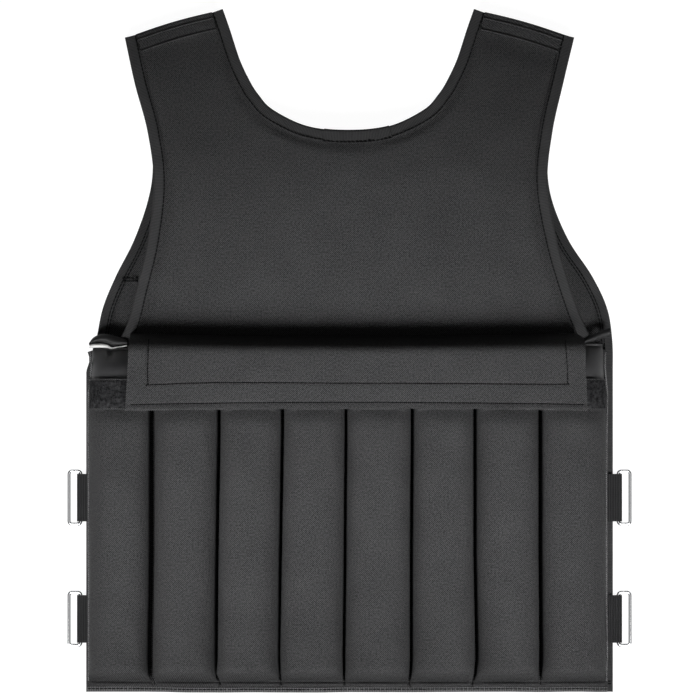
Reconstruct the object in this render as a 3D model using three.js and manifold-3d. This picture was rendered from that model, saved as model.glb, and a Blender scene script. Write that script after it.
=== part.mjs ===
// A weighted vest lying on its back, front up: bib, eight filled pockets, flap, side webbing and rings.
// Millimetres. +Y points to the shoulders, +Z up from the surface that the back lies on.
import * as THREE from 'three';
import { mergeVertices } from 'three/addons/utils/BufferGeometryUtils.js';
import Module from 'manifold-3d';

const wasm = await Module();
wasm.setup();

// Overall sizes of the two panels
const VEST_LENGTH = 580;
const BACK_WIDTH = 447.4;
const FRONT_WIDTH = 441.2;
const FRONT_SHIFT = -1.7;
const SHOULDER_INNER = 106.7;
const SHOULDER_OUTER = 190.8;
const SHOULDER_DROP = 24.3;
const NECK_DEPTH = 103.4;
const NECK_SHIFT = -1;

// Cloth, tape and the room between pieces
const CLEARANCE = 0.3;
const TAPE_THICKNESS = 1;
const RIM_THICKNESS = 1;
const TAPE_WIDTH = 10.6;
const HEM_TAPE_WIDTH = 6.2;
const PANEL_THICKNESS = 2 * TAPE_THICKNESS + 2 * CLEARANCE + RIM_THICKNESS;
const BACK_NECK_LOWER = 1.5;

// How far the front lies over the back
const MIDDLE_GAP = 13;
const WEBBING_THICKNESS = 1.3;
const TONGUE_THICKNESS = 2 * WEBBING_THICKNESS;
const FOLD_LIFT = PANEL_THICKNESS + CLEARANCE;
const SIDE_LIFT = PANEL_THICKNESS + TONGUE_THICKNESS + 2 * CLEARANCE;
const MIDDLE_LIFT = PANEL_THICKNESS + MIDDLE_GAP;
const SIDE_DROOP_POWER = 6;

// Shoulder folds
const FOLD_DEPTH = 17;
const FOLD_THICKNESS = 1.2;

// Pockets and weight bags
const POCKET_COUNT = 8;
const POCKET_DEPTH = 266;
const POCKET_HEIGHT = 25.8;
const POCKET_CLOTH = 1.2;
const SEAM_LAND = 3.2;
const POCKET_ROUNDNESS = 2.5;
const POCKET_END_LENGTH = 21.5;
const BAG_ABOVE_MOUTH = 29.5;
const BAG_CLEARANCE = 0.35;
const BAG_HEM_THICKNESS = 3;
const BAG_SEAM = 0.6;

// Hook-and-loop strip and flap
const STRIP_HEIGHT = 23;
const STRIP_THICKNESS = 1.5;
const STRIP_BELOW_MOUTH = 2;
const FLAP_LEFT = 189;
const FLAP_RIGHT = 200.5;
const FLAP_HEIGHT = 62;
const FLAP_BELOW_STRIP = 1.5;
const FLAP_CLOTH = 2;

// Side webbing and rings
const WEBBING_WIDTH = 40.4;
const TONGUE_LENGTH = 28;
const LOWER_TAB_HEIGHT = 62;
const TAB_SPACING = 103;
const WIRE_DIAMETER = 3.2;
const RING_LENGTH = 48.5;
const RING_REACH = 10.2;
const RING_CORNER = 2.6;
const RING_SIDES = 8;
const BAR_OUT = 4.6;

// Places worked out from the sizes
const TOP = VEST_LENGTH / 2;
const BOTTOM = -VEST_LENGTH / 2;
const BACK_HALF = BACK_WIDTH / 2;
const FRONT_HALF = FRONT_WIDTH / 2;
const MOUTH_Y = BOTTOM + POCKET_DEPTH;

// Armhole edges: how far down as a share of the length, half widths as shares of half that panel's width
const FRONT_ARMHOLE = [
  { down: 0.109, left: 0.819, right: 0.83 },
  { down: 0.18, left: 0.769, right: 0.788 },
  { down: 0.256, left: 0.745, right: 0.769 },
  { down: 0.34, left: 0.769, right: 0.806 },
  { down: 0.411, left: 0.813, right: 0.86 },
  { down: 0.462, left: 0.848, right: 0.91 },
  { down: 0.488, left: 0.895, right: 0.953 },
];
const FRONT_ARMHOLE_END = 0.502;
const BACK_ARMHOLE = [
  { down: 0.109, left: 0.805, right: 0.8 },
  { down: 0.18, left: 0.756, right: 0.759 },
  { down: 0.238, left: 0.748, right: 0.752 },
  { down: 0.285, left: 0.769, right: 0.773 },
  { down: 0.34, left: 0.82, right: 0.834 },
  { down: 0.391, left: 0.887, right: 0.921 },
  { down: 0.438, left: 0.937, right: 0.978 },
  { down: 0.485, left: 0.963, right: 0.998 },
];
const BACK_ARMHOLE_END = 0.53;

// Neckline: depth as a share of the neck's depth, half width as a share of its width at the shoulders
const NECKLINE = [
  { down: 0.153, half: 0.948 },
  { down: 0.416, half: 0.864 },
  { down: 0.613, half: 0.773 },
  { down: 0.712, half: 0.709 },
  { down: 0.81, half: 0.625 },
  { down: 0.909, half: 0.462 },
  { down: 0.965, half: 0.319 },
  { down: 0.993, half: 0.159 },
  { down: 1, half: 0 },
];

// Rise of the front from the shoulder folds to its full height over the back
const RISE = [
  { down: -0.03, rise: 0 },
  { down: 0.04, rise: 0.02 },
  { down: 0.09, rise: 0.2 },
  { down: 0.14, rise: 0.52 },
  { down: 0.2, rise: 0.84 },
  { down: 0.27, rise: 1 },
  { down: 1.03, rise: 1 },
];
const ARCH_LINES = [-1.1, -1, -0.93, -0.85, -0.74, -0.55, 0, 0.55, 0.74, 0.85, 0.93, 1, 1.1];

// Where each seam between two pockets strays from even spacing, as a share of a pocket's width
const SEAM_STRAY = [0, 0, 0, -0.025, -0.038, -0.02, -0.05, -0.048, 0];

// Height of a pocket along its length: distance above the end as a share of the end's length
const POCKET_ROWS = [
  { above: 0, height: 0 },
  { above: 0.16, height: 0.54 },
  { above: 0.35, height: 0.76 },
  { above: 0.63, height: 0.93 },
  { above: 1, height: 1 },
];
// Shape of a bag above the mouth: how far up its free end, and its height and width as shares
const BAG_ROWS = [
  { up: 0, height: 1, width: 1 },
  { up: 0.34, height: 0.93, width: 0.99 },
  { up: 0.62, height: 0.72, width: 0.98 },
  { up: 0.85, height: 0.34, width: 0.97 },
  { up: 1, height: 0, width: 0.96 },
];
// Flap from its seam on the bib to its lower edge: along its height, up to its plateau
const FLAP_ROWS = [
  { along: 0, up: 0 },
  { along: 0.02, up: 0.16 },
  { along: 0.07, up: 0.45 },
  { along: 0.14, up: 0.7 },
  { along: 0.23, up: 0.9 },
  { along: 0.33, up: 1 },
  { along: 1, up: 1 },
];

function between(table, key, value, at) {
  let i = 1;
  while (i < table.length - 1 && table[i][key] < at) {
    i += 1;
  }
  const low = table[i - 1];
  const high = table[i];
  const share = (at - low[key]) / (high[key] - low[key]);
  return low[value] + (high[value] - low[value]) * share;
}

const ARCH = ARCH_LINES.map((line) => ({
  line,
  height: SIDE_LIFT - FOLD_LIFT
    + (MIDDLE_LIFT - SIDE_LIFT) * (1 - Math.min(1, Math.abs(line)) ** SIDE_DROOP_POWER),
}));

// Underside of the front panel over any point of the surface
function lift(x, y) {
  const line = (x - FRONT_SHIFT) / FRONT_HALF;
  const down = (TOP - y) / VEST_LENGTH;
  return FOLD_LIFT + between(RISE, 'down', 'rise', down) * between(ARCH, 'line', 'height', line);
}

function toManifold(geometry) {
  const bare = geometry.index ? geometry.toNonIndexed() : geometry.clone();
  bare.deleteAttribute('normal');
  bare.deleteAttribute('uv');
  const merged = mergeVertices(bare, 1e-4);
  const mesh = new wasm.Mesh({
    numProp: 3,
    vertProperties: new Float32Array(merged.attributes.position.array),
    triVerts: new Uint32Array(merged.index.array),
  });
  return new wasm.Manifold(mesh);
}

function fromManifold(solid) {
  const mesh = solid.getMesh();
  const geometry = new THREE.BufferGeometry();
  geometry.setAttribute('position', new THREE.BufferAttribute(new Float32Array(mesh.vertProperties), 3));
  geometry.setIndex(new THREE.BufferAttribute(new Uint32Array(mesh.triVerts), 1));
  return geometry;
}

// A closed ribbon from rows of paired points: upper skin, lower skin, two long edges and two end strips
function ribbon(rows) {
  const position = [];
  const index = [];
  const wide = rows[0].upper.length;
  rows.forEach((row) => {
    row.upper.forEach((p) => position.push(...p));
    row.lower.forEach((p) => position.push(...p));
  });
  const upper = (r, c) => r * 2 * wide + c;
  const lower = (r, c) => r * 2 * wide + wide + c;
  const quad = (a, b, c, d) => index.push(a, b, c, a, c, d);
  for (let r = 0; r < rows.length - 1; r += 1) {
    for (let c = 0; c < wide - 1; c += 1) {
      quad(upper(r, c), upper(r, c + 1), upper(r + 1, c + 1), upper(r + 1, c));
      quad(lower(r, c), lower(r + 1, c), lower(r + 1, c + 1), lower(r, c + 1));
    }
    quad(upper(r, 0), upper(r + 1, 0), lower(r + 1, 0), lower(r, 0));
    quad(upper(r, wide - 1), lower(r, wide - 1), lower(r + 1, wide - 1), upper(r + 1, wide - 1));
  }
  const last = rows.length - 1;
  for (let c = 0; c < wide - 1; c += 1) {
    quad(upper(0, c), lower(0, c), lower(0, c + 1), upper(0, c + 1));
    quad(upper(last, c), upper(last, c + 1), lower(last, c + 1), lower(last, c));
  }
  const geometry = new THREE.BufferGeometry();
  geometry.setAttribute('position', new THREE.BufferAttribute(new Float32Array(position), 3));
  geometry.setIndex(index);
  return geometry;
}

// A slab that follows the front's arch, from one height over its underside to another
const archXs = ARCH_LINES.map((line) => FRONT_SHIFT + line * FRONT_HALF);
function frontSlab(low, high) {
  const ys = RISE.map((row) => TOP - row.down * VEST_LENGTH).reverse();
  return toManifold(ribbon(ys.map((y) => ({
    upper: archXs.map((x) => [x, y, lift(x, y) + high]),
    lower: archXs.map((x) => [x, y, low === null ? 0 : lift(x, y) + low]),
  }))));
}

function prism(outline, low, high) {
  const shape = new THREE.Shape(outline.map((p) => new THREE.Vector2(p[0], p[1])));
  const geometry = new THREE.ExtrudeGeometry(shape, { depth: high - low, bevelEnabled: false });
  geometry.translate(0, 0, low);
  return toManifold(geometry);
}

const THROUGH = 200;
const column = (outline) => prism(outline, -THROUGH, THROUGH);

// Moves an open line to its left by a distance, with mitred bends
function aside(line, distance) {
  return line.map((p, i) => {
    const a = line[Math.max(0, i - 1)];
    const b = line[Math.min(line.length - 1, i + 1)];
    const before = new THREE.Vector2(p[0] - a[0], p[1] - a[1]).normalize();
    const after = new THREE.Vector2(b[0] - p[0], b[1] - p[1]).normalize();
    const first = i === 0 ? after : before;
    const second = i === line.length - 1 ? before : after;
    const mid = first.clone().add(second).normalize();
    const reach = distance / mid.dot(first);
    return [p[0] - mid.y * reach, p[1] + mid.x * reach];
  });
}

// The band between two distances to the left of a line
function band(line, near, far) {
  return column([...aside(line, near), ...aside(line, far).reverse()]);
}

function smoothLine(points, pieces) {
  const curve = new THREE.SplineCurve(points.map((p) => new THREE.Vector2(p[0], p[1])));
  return curve.getPoints(pieces).map((p) => [p.x, p.y]);
}

// Carries both ends of a line straight on, so that a cut along it reaches past the panel
function carriedOn(line, by) {
  const start = line[0];
  const next = line[1];
  const end = line[line.length - 1];
  const previous = line[line.length - 2];
  const back = new THREE.Vector2(start[0] - next[0], start[1] - next[1]).setLength(by);
  const on = new THREE.Vector2(end[0] - previous[0], end[1] - previous[1]).setLength(by);
  return [[start[0] + back.x, start[1] + back.y], ...line, [end[0] + on.x, end[1] + on.y]];
}

const ARMHOLE_PIECES = 16;
const NECK_PIECES = 22;
const shoulderOuter = (side) => [side * SHOULDER_OUTER, TOP - SHOULDER_DROP];
const shoulderInner = (side) => [side * SHOULDER_INNER + NECK_SHIFT, TOP];

// From the shoulder down to the side of a panel, given by its middle and half its width
function armhole(table, side, panel) {
  const key = side < 0 ? 'left' : 'right';
  const place = (share, down) => [panel.middle + side * share * panel.half, TOP - down * VEST_LENGTH];
  const rows = table.map((row) => place(row[key], row.down));
  return smoothLine([shoulderOuter(side), ...rows, place(1, panel.armholeEnd)], ARMHOLE_PIECES);
}

// From the left shoulder down and up to the right one
function neckline() {
  const half = NECKLINE.map((row) => [row.half * SHOULDER_INNER, TOP - row.down * NECK_DEPTH]);
  const left = half.map((p) => [NECK_SHIFT - p[0], p[1]]);
  const right = half.slice(0, -1).reverse().map((p) => [NECK_SHIFT + p[0], p[1]]);
  return smoothLine([shoulderInner(-1), ...left, ...right, shoulderInner(1)], NECK_PIECES);
}

const FRONT_LEFT = FRONT_SHIFT - FRONT_HALF;
const FRONT_RIGHT = FRONT_SHIFT + FRONT_HALF;
const front = { middle: FRONT_SHIFT, half: FRONT_HALF, armholeEnd: FRONT_ARMHOLE_END };
const back = { middle: 0, half: BACK_HALF, armholeEnd: BACK_ARMHOLE_END };
const frontArmholeLeft = armhole(FRONT_ARMHOLE, -1, front);
const frontArmholeRight = armhole(FRONT_ARMHOLE, 1, front);
const backArmholeLeft = armhole(BACK_ARMHOLE, -1, back);
const backArmholeRight = armhole(BACK_ARMHOLE, 1, back);
const neckEdge = neckline().reverse();
const bottomEdge = [[FRONT_LEFT, BOTTOM], [FRONT_RIGHT, BOTTOM]];
const backOuterEdge = [
  ...backArmholeLeft,
  [-BACK_HALF, BOTTOM],
  [BACK_HALF, BOTTOM],
  ...backArmholeRight.slice().reverse(),
];
const shoulderEdgeLeft = [shoulderInner(-1), shoulderOuter(-1)];
const shoulderEdgeRight = [shoulderOuter(1), shoulderInner(1)];

const frontOutline = [
  ...bottomEdge,
  ...frontArmholeRight.slice().reverse(),
  ...neckEdge,
  ...frontArmholeLeft,
];
const backOutline = [...backOuterEdge, ...neckEdge];

const PAST = 40;
const RIM_LAP = 2.5;
const EDGE_INSET = TAPE_THICKNESS + CLEARANCE;
const SEAM_INSET = TAPE_WIDTH + CLEARANCE;
const FOLD_INSET = FOLD_THICKNESS + CLEARANCE;

const neckRun = carriedOn(neckEdge, PAST);
const backNeckRun = carriedOn(aside(neckEdge, BACK_NECK_LOWER), PAST);
const armholeRunLeft = carriedOn(frontArmholeLeft, PAST);
const armholeRunRight = carriedOn(frontArmholeRight.slice().reverse(), PAST);
const backRun = carriedOn(backOuterEdge, PAST);
const foldRuns = [carriedOn(shoulderEdgeLeft, PAST), carriedOn(shoulderEdgeRight, PAST)];
const bottomRun = carriedOn(bottomEdge, PAST);

// A panel whose bound edges are pressed thin, so that the tape round them lies flush
function boundPanel(full, thin, runs) {
  let panel = full;
  let rim = thin;
  runs.forEach((run) => {
    panel = panel.subtract(band(run, -PAST, SEAM_INSET));
    rim = rim.subtract(band(run, -PAST, EDGE_INSET));
  });
  let bands = band(runs[0], EDGE_INSET, SEAM_INSET + RIM_LAP);
  runs.slice(1).forEach((run) => {
    bands = bands.add(band(run, EDGE_INSET, SEAM_INSET + RIM_LAP));
  });
  return panel.add(rim.intersect(bands));
}

const frontColumn = column(frontOutline);
const backColumn = column(backOutline).subtract(band(neckRun, -PAST, BACK_NECK_LOWER));
const RIM_LOW = TAPE_THICKNESS + CLEARANCE;
const RIM_HIGH = RIM_LOW + RIM_THICKNESS;

function frontPanel() {
  let panel = boundPanel(
    frontSlab(0, PANEL_THICKNESS).intersect(frontColumn),
    frontSlab(RIM_LOW, RIM_HIGH).intersect(frontColumn),
    [neckRun, armholeRunLeft, armholeRunRight],
  );
  foldRuns.forEach((run) => {
    panel = panel.subtract(band(run, -PAST, FOLD_INSET));
  });
  return panel.subtract(band(bottomRun, -PAST, EDGE_INSET));
}

function backPanel() {
  let panel = boundPanel(
    prism(backOutline, 0, PANEL_THICKNESS).intersect(backColumn),
    prism(backOutline, RIM_LOW, RIM_HIGH).intersect(backColumn),
    [backNeckRun, backRun],
  );
  foldRuns.forEach((run) => {
    panel = panel.subtract(band(run, -PAST, FOLD_INSET));
  });
  return panel;
}

// A tape folded round an edge: an outer skin less the room for the pressed rim
function frontTape(run) {
  const skin = frontSlab(0, PANEL_THICKNESS).intersect(band(run, 0, TAPE_WIDTH)).intersect(frontColumn);
  const room = frontSlab(TAPE_THICKNESS, PANEL_THICKNESS - TAPE_THICKNESS);
  return skin.subtract(room.intersect(band(run, TAPE_THICKNESS, TAPE_WIDTH + PAST)));
}

function backTape(run) {
  const skin = prism(backOutline, 0, PANEL_THICKNESS).intersect(band(run, 0, TAPE_WIDTH)).intersect(backColumn);
  const room = prism(backOutline, TAPE_THICKNESS, PANEL_THICKNESS - TAPE_THICKNESS);
  return skin.subtract(room.intersect(band(run, TAPE_THICKNESS, TAPE_WIDTH + PAST)));
}

// The hem tape lies round the front panel and the flat end of the pocket sheet together
const HEM_STACK = PANEL_THICKNESS + CLEARANCE + POCKET_CLOTH;
function hemTape() {
  const skin = frontSlab(-CLEARANCE - TAPE_THICKNESS, HEM_STACK + CLEARANCE + TAPE_THICKNESS)
    .intersect(band(bottomRun, 0, HEM_TAPE_WIDTH))
    .intersect(frontColumn);
  const room = frontSlab(-CLEARANCE, HEM_STACK + CLEARANCE);
  return skin.subtract(room.intersect(band(bottomRun, TAPE_THICKNESS, HEM_TAPE_WIDTH + PAST)));
}

// The cloth over a shoulder: a skin on the front and a turned edge down to the surface
function shoulderFold(run) {
  const top = PANEL_THICKNESS + CLEARANCE;
  const skin = frontSlab(top, top + FOLD_THICKNESS).intersect(band(run, 0, FOLD_DEPTH));
  const turned = frontSlab(null, top + FOLD_THICKNESS).intersect(band(run, 0, FOLD_THICKNESS));
  return skin
    .add(turned)
    .intersect(frontColumn)
    .subtract(band(neckRun, -PAST, SEAM_INSET + BACK_NECK_LOWER))
    .subtract(band(armholeRunLeft, -PAST, SEAM_INSET))
    .subtract(band(armholeRunRight, -PAST, SEAM_INSET))
    .subtract(band(backRun, -PAST, SEAM_INSET));
}

// Heights over the front panel are counted from here up
const onFront = (x, y, up) => [x, y, lift(x, y) + PANEL_THICKNESS + CLEARANCE + up];

// Half of a rounded section, from its left foot over the top to its right foot
const ARCH_PIECES = 8;
function rounded(half, height) {
  const points = [];
  for (let i = 0; i <= ARCH_PIECES; i += 1) {
    const turn = Math.PI * (1 - i / ARCH_PIECES);
    const across = Math.cos(turn);
    const up = Math.max(0, Math.sin(turn));
    points.push([
      half * Math.sign(across) * Math.abs(across) ** (2 / POCKET_ROUNDNESS),
      height * up ** (2 / POCKET_ROUNDNESS),
    ]);
  }
  return points;
}

const PITCH = FRONT_WIDTH / POCKET_COUNT;
const seams = Array.from({ length: POCKET_COUNT + 1 }, (_, i) => {
  const stray = SEAM_STRAY[i % SEAM_STRAY.length];
  return FRONT_LEFT + PITCH * (i + (i === POCKET_COUNT ? 0 : stray));
});
const POCKET_END = BOTTOM + HEM_TAPE_WIDTH + CLEARANCE;
const pocketRows = [
  ...POCKET_ROWS.map((row) => ({ y: POCKET_END + row.above * POCKET_END_LENGTH, share: row.height })),
  { y: MOUTH_Y, share: 1 },
];

// Outer and inner section of the pocket sheet at one height share
function pocketSection(share) {
  const outer = [];
  const inner = [];
  seams.forEach((seam, i) => {
    if (i === POCKET_COUNT) {
      return;
    }
    const half = (seams[i + 1] - seam - SEAM_LAND) / 2;
    const middle = (seams[i + 1] + seam) / 2;
    const rise = (POCKET_HEIGHT - POCKET_CLOTH) * share;
    if (i === 0) {
      outer.push([seam, POCKET_CLOTH]);
      inner.push([seam, 0]);
    }
    rounded(half, rise).forEach((p) => outer.push([middle + p[0], POCKET_CLOTH + p[1]]));
    rounded(half - POCKET_CLOTH, rise).forEach((p) => inner.push([middle + p[0], p[1]]));
    if (i === POCKET_COUNT - 1) {
      outer.push([seams[POCKET_COUNT], POCKET_CLOTH]);
      inner.push([seams[POCKET_COUNT], 0]);
    }
  });
  return { outer, inner };
}

function pocketSheet() {
  const rows = [{ y: BOTTOM + EDGE_INSET, share: 0 }, ...pocketRows];
  return ribbon(rows.map((row) => {
    const section = pocketSection(row.share);
    return {
      upper: section.outer.map((p) => onFront(p[0], row.y, p[1])),
      lower: section.inner.map((p) => onFront(p[0], row.y, p[1])),
    };
  }));
}

function weightBag(i) {
  const middle = (seams[i + 1] + seams[i]) / 2;
  const half = (seams[i + 1] - seams[i] - SEAM_LAND) / 2 - POCKET_CLOTH - BAG_CLEARANCE;
  const room = POCKET_HEIGHT - POCKET_CLOTH;
  const spare = BAG_CLEARANCE + BAG_SEAM;
  const inside = pocketRows.slice(1, -1).map((row) => ({ y: row.y, height: room * row.share - spare, width: 1 }));
  const above = BAG_ROWS.map((row) => ({
    y: MOUTH_Y + row.up * BAG_ABOVE_MOUTH,
    height: Math.max(BAG_HEM_THICKNESS, room * row.height - spare),
    width: row.width,
  }));
  return ribbon([...inside, ...above].map((row) => {
    const arch = rounded(half * row.width, row.height);
    return {
      upper: arch.map((p) => onFront(middle + p[0], row.y, p[1] + BAG_SEAM)),
      lower: arch.map((p) => onFront(middle + p[0], row.y, 0)),
    };
  }));
}

// The strip follows the tops of the pockets and bridges the seams between them
function loopStrip() {
  const half = (i) => (seams[i + 1] - seams[i] - SEAM_LAND) / 2;
  const skin = (extra) => {
    const points = [];
    for (let i = 0; i < POCKET_COUNT; i += 1) {
      const middle = (seams[i + 1] + seams[i]) / 2;
      const arch = rounded(half(i) + extra, POCKET_HEIGHT - POCKET_CLOTH + extra);
      arch.slice(1, -1).forEach((p) => points.push([middle + p[0], POCKET_CLOTH + p[1]]));
    }
    return points;
  };
  const high = MOUTH_Y - STRIP_BELOW_MOUTH;
  return ribbon([high - STRIP_HEIGHT, high].map((y) => ({
    upper: skin(CLEARANCE + STRIP_THICKNESS).map((p) => onFront(p[0], y, p[1])),
    lower: skin(CLEARANCE).map((p) => onFront(p[0], y, p[1])),
  })));
}

// The flap: sewn to the bib, it climbs over the bag tops and lies flat on the strip
const FLAP_LOW_Y = MOUTH_Y - STRIP_BELOW_MOUTH - STRIP_HEIGHT - FLAP_BELOW_STRIP;
const PLATEAU = POCKET_HEIGHT + CLEARANCE + STRIP_THICKNESS + CLEARANCE;
function flap() {
  const line = FLAP_ROWS.map((row) => [row.along * FLAP_HEIGHT, row.up * PLATEAU]);
  const skin = aside(line, FLAP_CLOTH);
  const bends = archXs.filter((x) => x > -FLAP_LEFT && x < FLAP_RIGHT);
  const xs = [-FLAP_LEFT, ...bends, FLAP_RIGHT];
  const place = (x, p) => onFront(x, FLAP_LOW_Y + FLAP_HEIGHT - p[0], p[1]);
  return ribbon(line.map((p, i) => ({
    upper: xs.map((x) => place(x, skin[i])),
    lower: xs.map((x) => place(x, p)),
  })).reverse());
}

// Side webbing: a tongue sewn in between the panels, folded round the bar of its ring
const BORE = WIRE_DIAMETER / 2 + CLEARANCE;
const LOOP = BORE + WEBBING_THICKNESS;
const BAR_X = BACK_HALF + BAR_OUT;
const TONGUE_LOW = PANEL_THICKNESS + CLEARANCE;
function webbingTab() {
  const shape = new THREE.Shape();
  const low = TONGUE_LOW - LOOP;
  const high = low + TONGUE_THICKNESS;
  const meet = Math.PI - Math.asin(low / LOOP);
  shape.moveTo(-BAR_OUT - TONGUE_LENGTH, low);
  shape.lineTo(LOOP * Math.cos(meet), low);
  shape.absarc(0, 0, LOOP, meet, Math.PI * 2.5, false);
  shape.lineTo(-BAR_OUT, high);
  shape.lineTo(-BAR_OUT - TONGUE_LENGTH, high);
  const hole = new THREE.Path();
  hole.absarc(0, 0, BORE, 0, Math.PI * 2, true);
  shape.holes.push(hole);
  const geometry = new THREE.ExtrudeGeometry(shape, {
    depth: WEBBING_WIDTH,
    bevelEnabled: false,
    curveSegments: 8,
  });
  geometry.rotateX(Math.PI / 2);
  geometry.translate(0, WEBBING_WIDTH / 2, 0);
  return geometry;
}

// A wire bent to a rectangle with round corners, its inner bar on the origin
const CORNER_STEPS = 3;
function wireRing() {
  const wire = WIRE_DIAMETER / 2;
  const halfLength = RING_LENGTH / 2 - wire;
  const corners = [
    { x: RING_REACH - RING_CORNER, y: halfLength - RING_CORNER, start: 0 },
    { x: RING_CORNER, y: halfLength - RING_CORNER, start: Math.PI / 2 },
    { x: RING_CORNER, y: RING_CORNER - halfLength, start: Math.PI },
    { x: RING_REACH - RING_CORNER, y: RING_CORNER - halfLength, start: Math.PI * 1.5 },
  ];
  const stations = [];
  corners.forEach((corner) => {
    for (let i = 0; i <= CORNER_STEPS; i += 1) {
      const turn = corner.start + (Math.PI / 2) * (i / CORNER_STEPS);
      stations.push({ corner, out: [Math.cos(turn), Math.sin(turn)] });
    }
  });
  const position = [];
  const index = [];
  stations.forEach((station, s) => {
    for (let k = 0; k < RING_SIDES; k += 1) {
      const angle = (Math.PI * 2 * (k + 0.5)) / RING_SIDES;
      const reach = RING_CORNER + wire * Math.cos(angle);
      position.push(
        station.corner.x + station.out[0] * reach,
        station.corner.y + station.out[1] * reach,
        wire * Math.sin(angle),
      );
      const here = s * RING_SIDES;
      const next = ((s + 1) % stations.length) * RING_SIDES;
      const along = (k + 1) % RING_SIDES;
      index.push(here + k, next + k, next + along, here + k, next + along, here + along);
    }
  });
  const geometry = new THREE.BufferGeometry();
  geometry.setAttribute('position', new THREE.BufferAttribute(new Float32Array(position), 3));
  geometry.setIndex(index);
  return geometry;
}

const CLOTH = { color: 0x3b3b3c, roughness: 0.85, metalness: 0 };
const TAPE = { color: 0x29292a, roughness: 0.9, metalness: 0 };
const PILE = { color: 0x1f1f20, roughness: 1, metalness: 0 };
const WEBBING = { color: 0x262627, roughness: 0.85, metalness: 0 };
const BAG = { color: 0x454546, roughness: 0.7, metalness: 0 };
const BRIGHT = { color: 0xc9cbcf, roughness: 0.2, metalness: 1 };

const group = new THREE.Group();
function piece(name, geometry, look) {
  const mesh = new THREE.Mesh(geometry, new THREE.MeshStandardMaterial(look));
  mesh.name = name;
  mesh.geometry.computeVertexNormals();
  return mesh;
}

group.add(piece('back_panel', fromManifold(backPanel()), CLOTH));
group.add(piece('back_binding', fromManifold(backTape(backRun)), TAPE));
group.add(piece('back_neck_binding', fromManifold(backTape(backNeckRun)), TAPE));
group.add(piece('front_panel', fromManifold(frontPanel()), CLOTH));
group.add(piece('front_neck_binding', fromManifold(frontTape(neckRun)), TAPE));
group.add(piece('front_armhole_binding_left', fromManifold(frontTape(armholeRunLeft)), TAPE));
group.add(piece('front_armhole_binding_right', fromManifold(frontTape(armholeRunRight)), TAPE));
group.add(piece('bottom_binding', fromManifold(hemTape()), TAPE));
group.add(piece('shoulder_left', fromManifold(shoulderFold(foldRuns[0])), CLOTH));
group.add(piece('shoulder_right', fromManifold(shoulderFold(foldRuns[1])), CLOTH));
group.add(piece('pocket_sheet', pocketSheet(), CLOTH));
for (let i = 0; i < POCKET_COUNT; i += 1) {
  group.add(piece(`weight_bag_${i + 1}`, weightBag(i), BAG));
}
group.add(piece('loop_strip', loopStrip(), PILE));
group.add(piece('flap', flap(), CLOTH));

// Tabs and rings: left upper, left lower, right upper, right lower
const RING_TILT = Math.asin((LOOP - WIRE_DIAMETER / 2) / RING_REACH);
[-1, 1].forEach((side, s) => {
  const flank = new THREE.Group();
  flank.rotation.z = side < 0 ? Math.PI : 0;
  group.add(flank);
  [TAB_SPACING, 0].forEach((above, t) => {
    const y = BOTTOM + LOWER_TAB_HEIGHT + above;
    const place = new THREE.Vector3(BAR_X, side * y, LOOP);
    const tab = piece(`webbing_tab_${2 * s + t + 1}`, webbingTab(), WEBBING);
    tab.position.copy(place);
    flank.add(tab);
    const ring = piece(`ring_${2 * s + t + 1}`, wireRing(), BRIGHT);
    ring.position.copy(place);
    ring.rotation.y = RING_TILT;
    flank.add(ring);
  });
});

export default group;
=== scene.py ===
import math

import bpy
import numpy as np
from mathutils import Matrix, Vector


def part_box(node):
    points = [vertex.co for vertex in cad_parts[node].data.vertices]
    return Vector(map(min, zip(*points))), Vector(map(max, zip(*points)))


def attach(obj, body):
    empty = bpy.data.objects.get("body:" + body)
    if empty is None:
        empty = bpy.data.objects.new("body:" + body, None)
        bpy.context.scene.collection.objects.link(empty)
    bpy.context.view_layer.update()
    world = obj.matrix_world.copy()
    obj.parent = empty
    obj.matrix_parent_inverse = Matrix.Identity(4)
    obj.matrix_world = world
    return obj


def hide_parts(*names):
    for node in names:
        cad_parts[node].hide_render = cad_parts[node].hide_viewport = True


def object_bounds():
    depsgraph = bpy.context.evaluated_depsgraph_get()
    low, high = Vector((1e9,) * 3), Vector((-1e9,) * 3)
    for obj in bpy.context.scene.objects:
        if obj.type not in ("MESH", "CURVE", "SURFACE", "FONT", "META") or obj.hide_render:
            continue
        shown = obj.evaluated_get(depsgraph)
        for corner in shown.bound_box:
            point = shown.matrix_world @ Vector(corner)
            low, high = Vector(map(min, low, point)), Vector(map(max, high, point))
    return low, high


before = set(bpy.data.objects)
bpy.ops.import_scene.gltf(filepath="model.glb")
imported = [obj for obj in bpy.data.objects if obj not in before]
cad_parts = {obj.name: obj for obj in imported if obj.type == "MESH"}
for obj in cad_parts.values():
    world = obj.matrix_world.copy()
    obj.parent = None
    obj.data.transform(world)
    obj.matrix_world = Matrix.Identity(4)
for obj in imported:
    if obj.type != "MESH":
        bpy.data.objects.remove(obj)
cad_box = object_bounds()

# The back of the vest
# Two layers of black nylon twill over a thin wadding, cut in one with the shoulders. It lies flat on
# its outer face, with its pressed edges inside a folded tape. All sizes are in millimetres.
MM = 0.001
PANEL_THICKNESS = 3.6
RIM_LOW = 1.3
RIM_HIGH = 2.3
TAPE_WIDTH = 10.6
SWELL_REACH = 7.5
BACK_SWELL = 0.5
SHOULDER_INNER = 106.7
SHOULDER_OUTER = 190.8
SHOULDER_DROP = 24.3
NECK_DEPTH = 103.4
NECK_SHIFT = -1.0
BACK_NECK_LOWER = 1.5
PANEL_ROWS = 150
PANEL_COLUMNS = 44
EDGE_PIECES = 120
TWILL_PERIOD = 1.75
CLOTH_DARK = (0.0040, 0.0040, 0.0043, 1)
CLOTH_LIGHT = (0.0780, 0.0780, 0.0796, 1)
CLOTH_ROUGHNESS = 0.62
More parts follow.
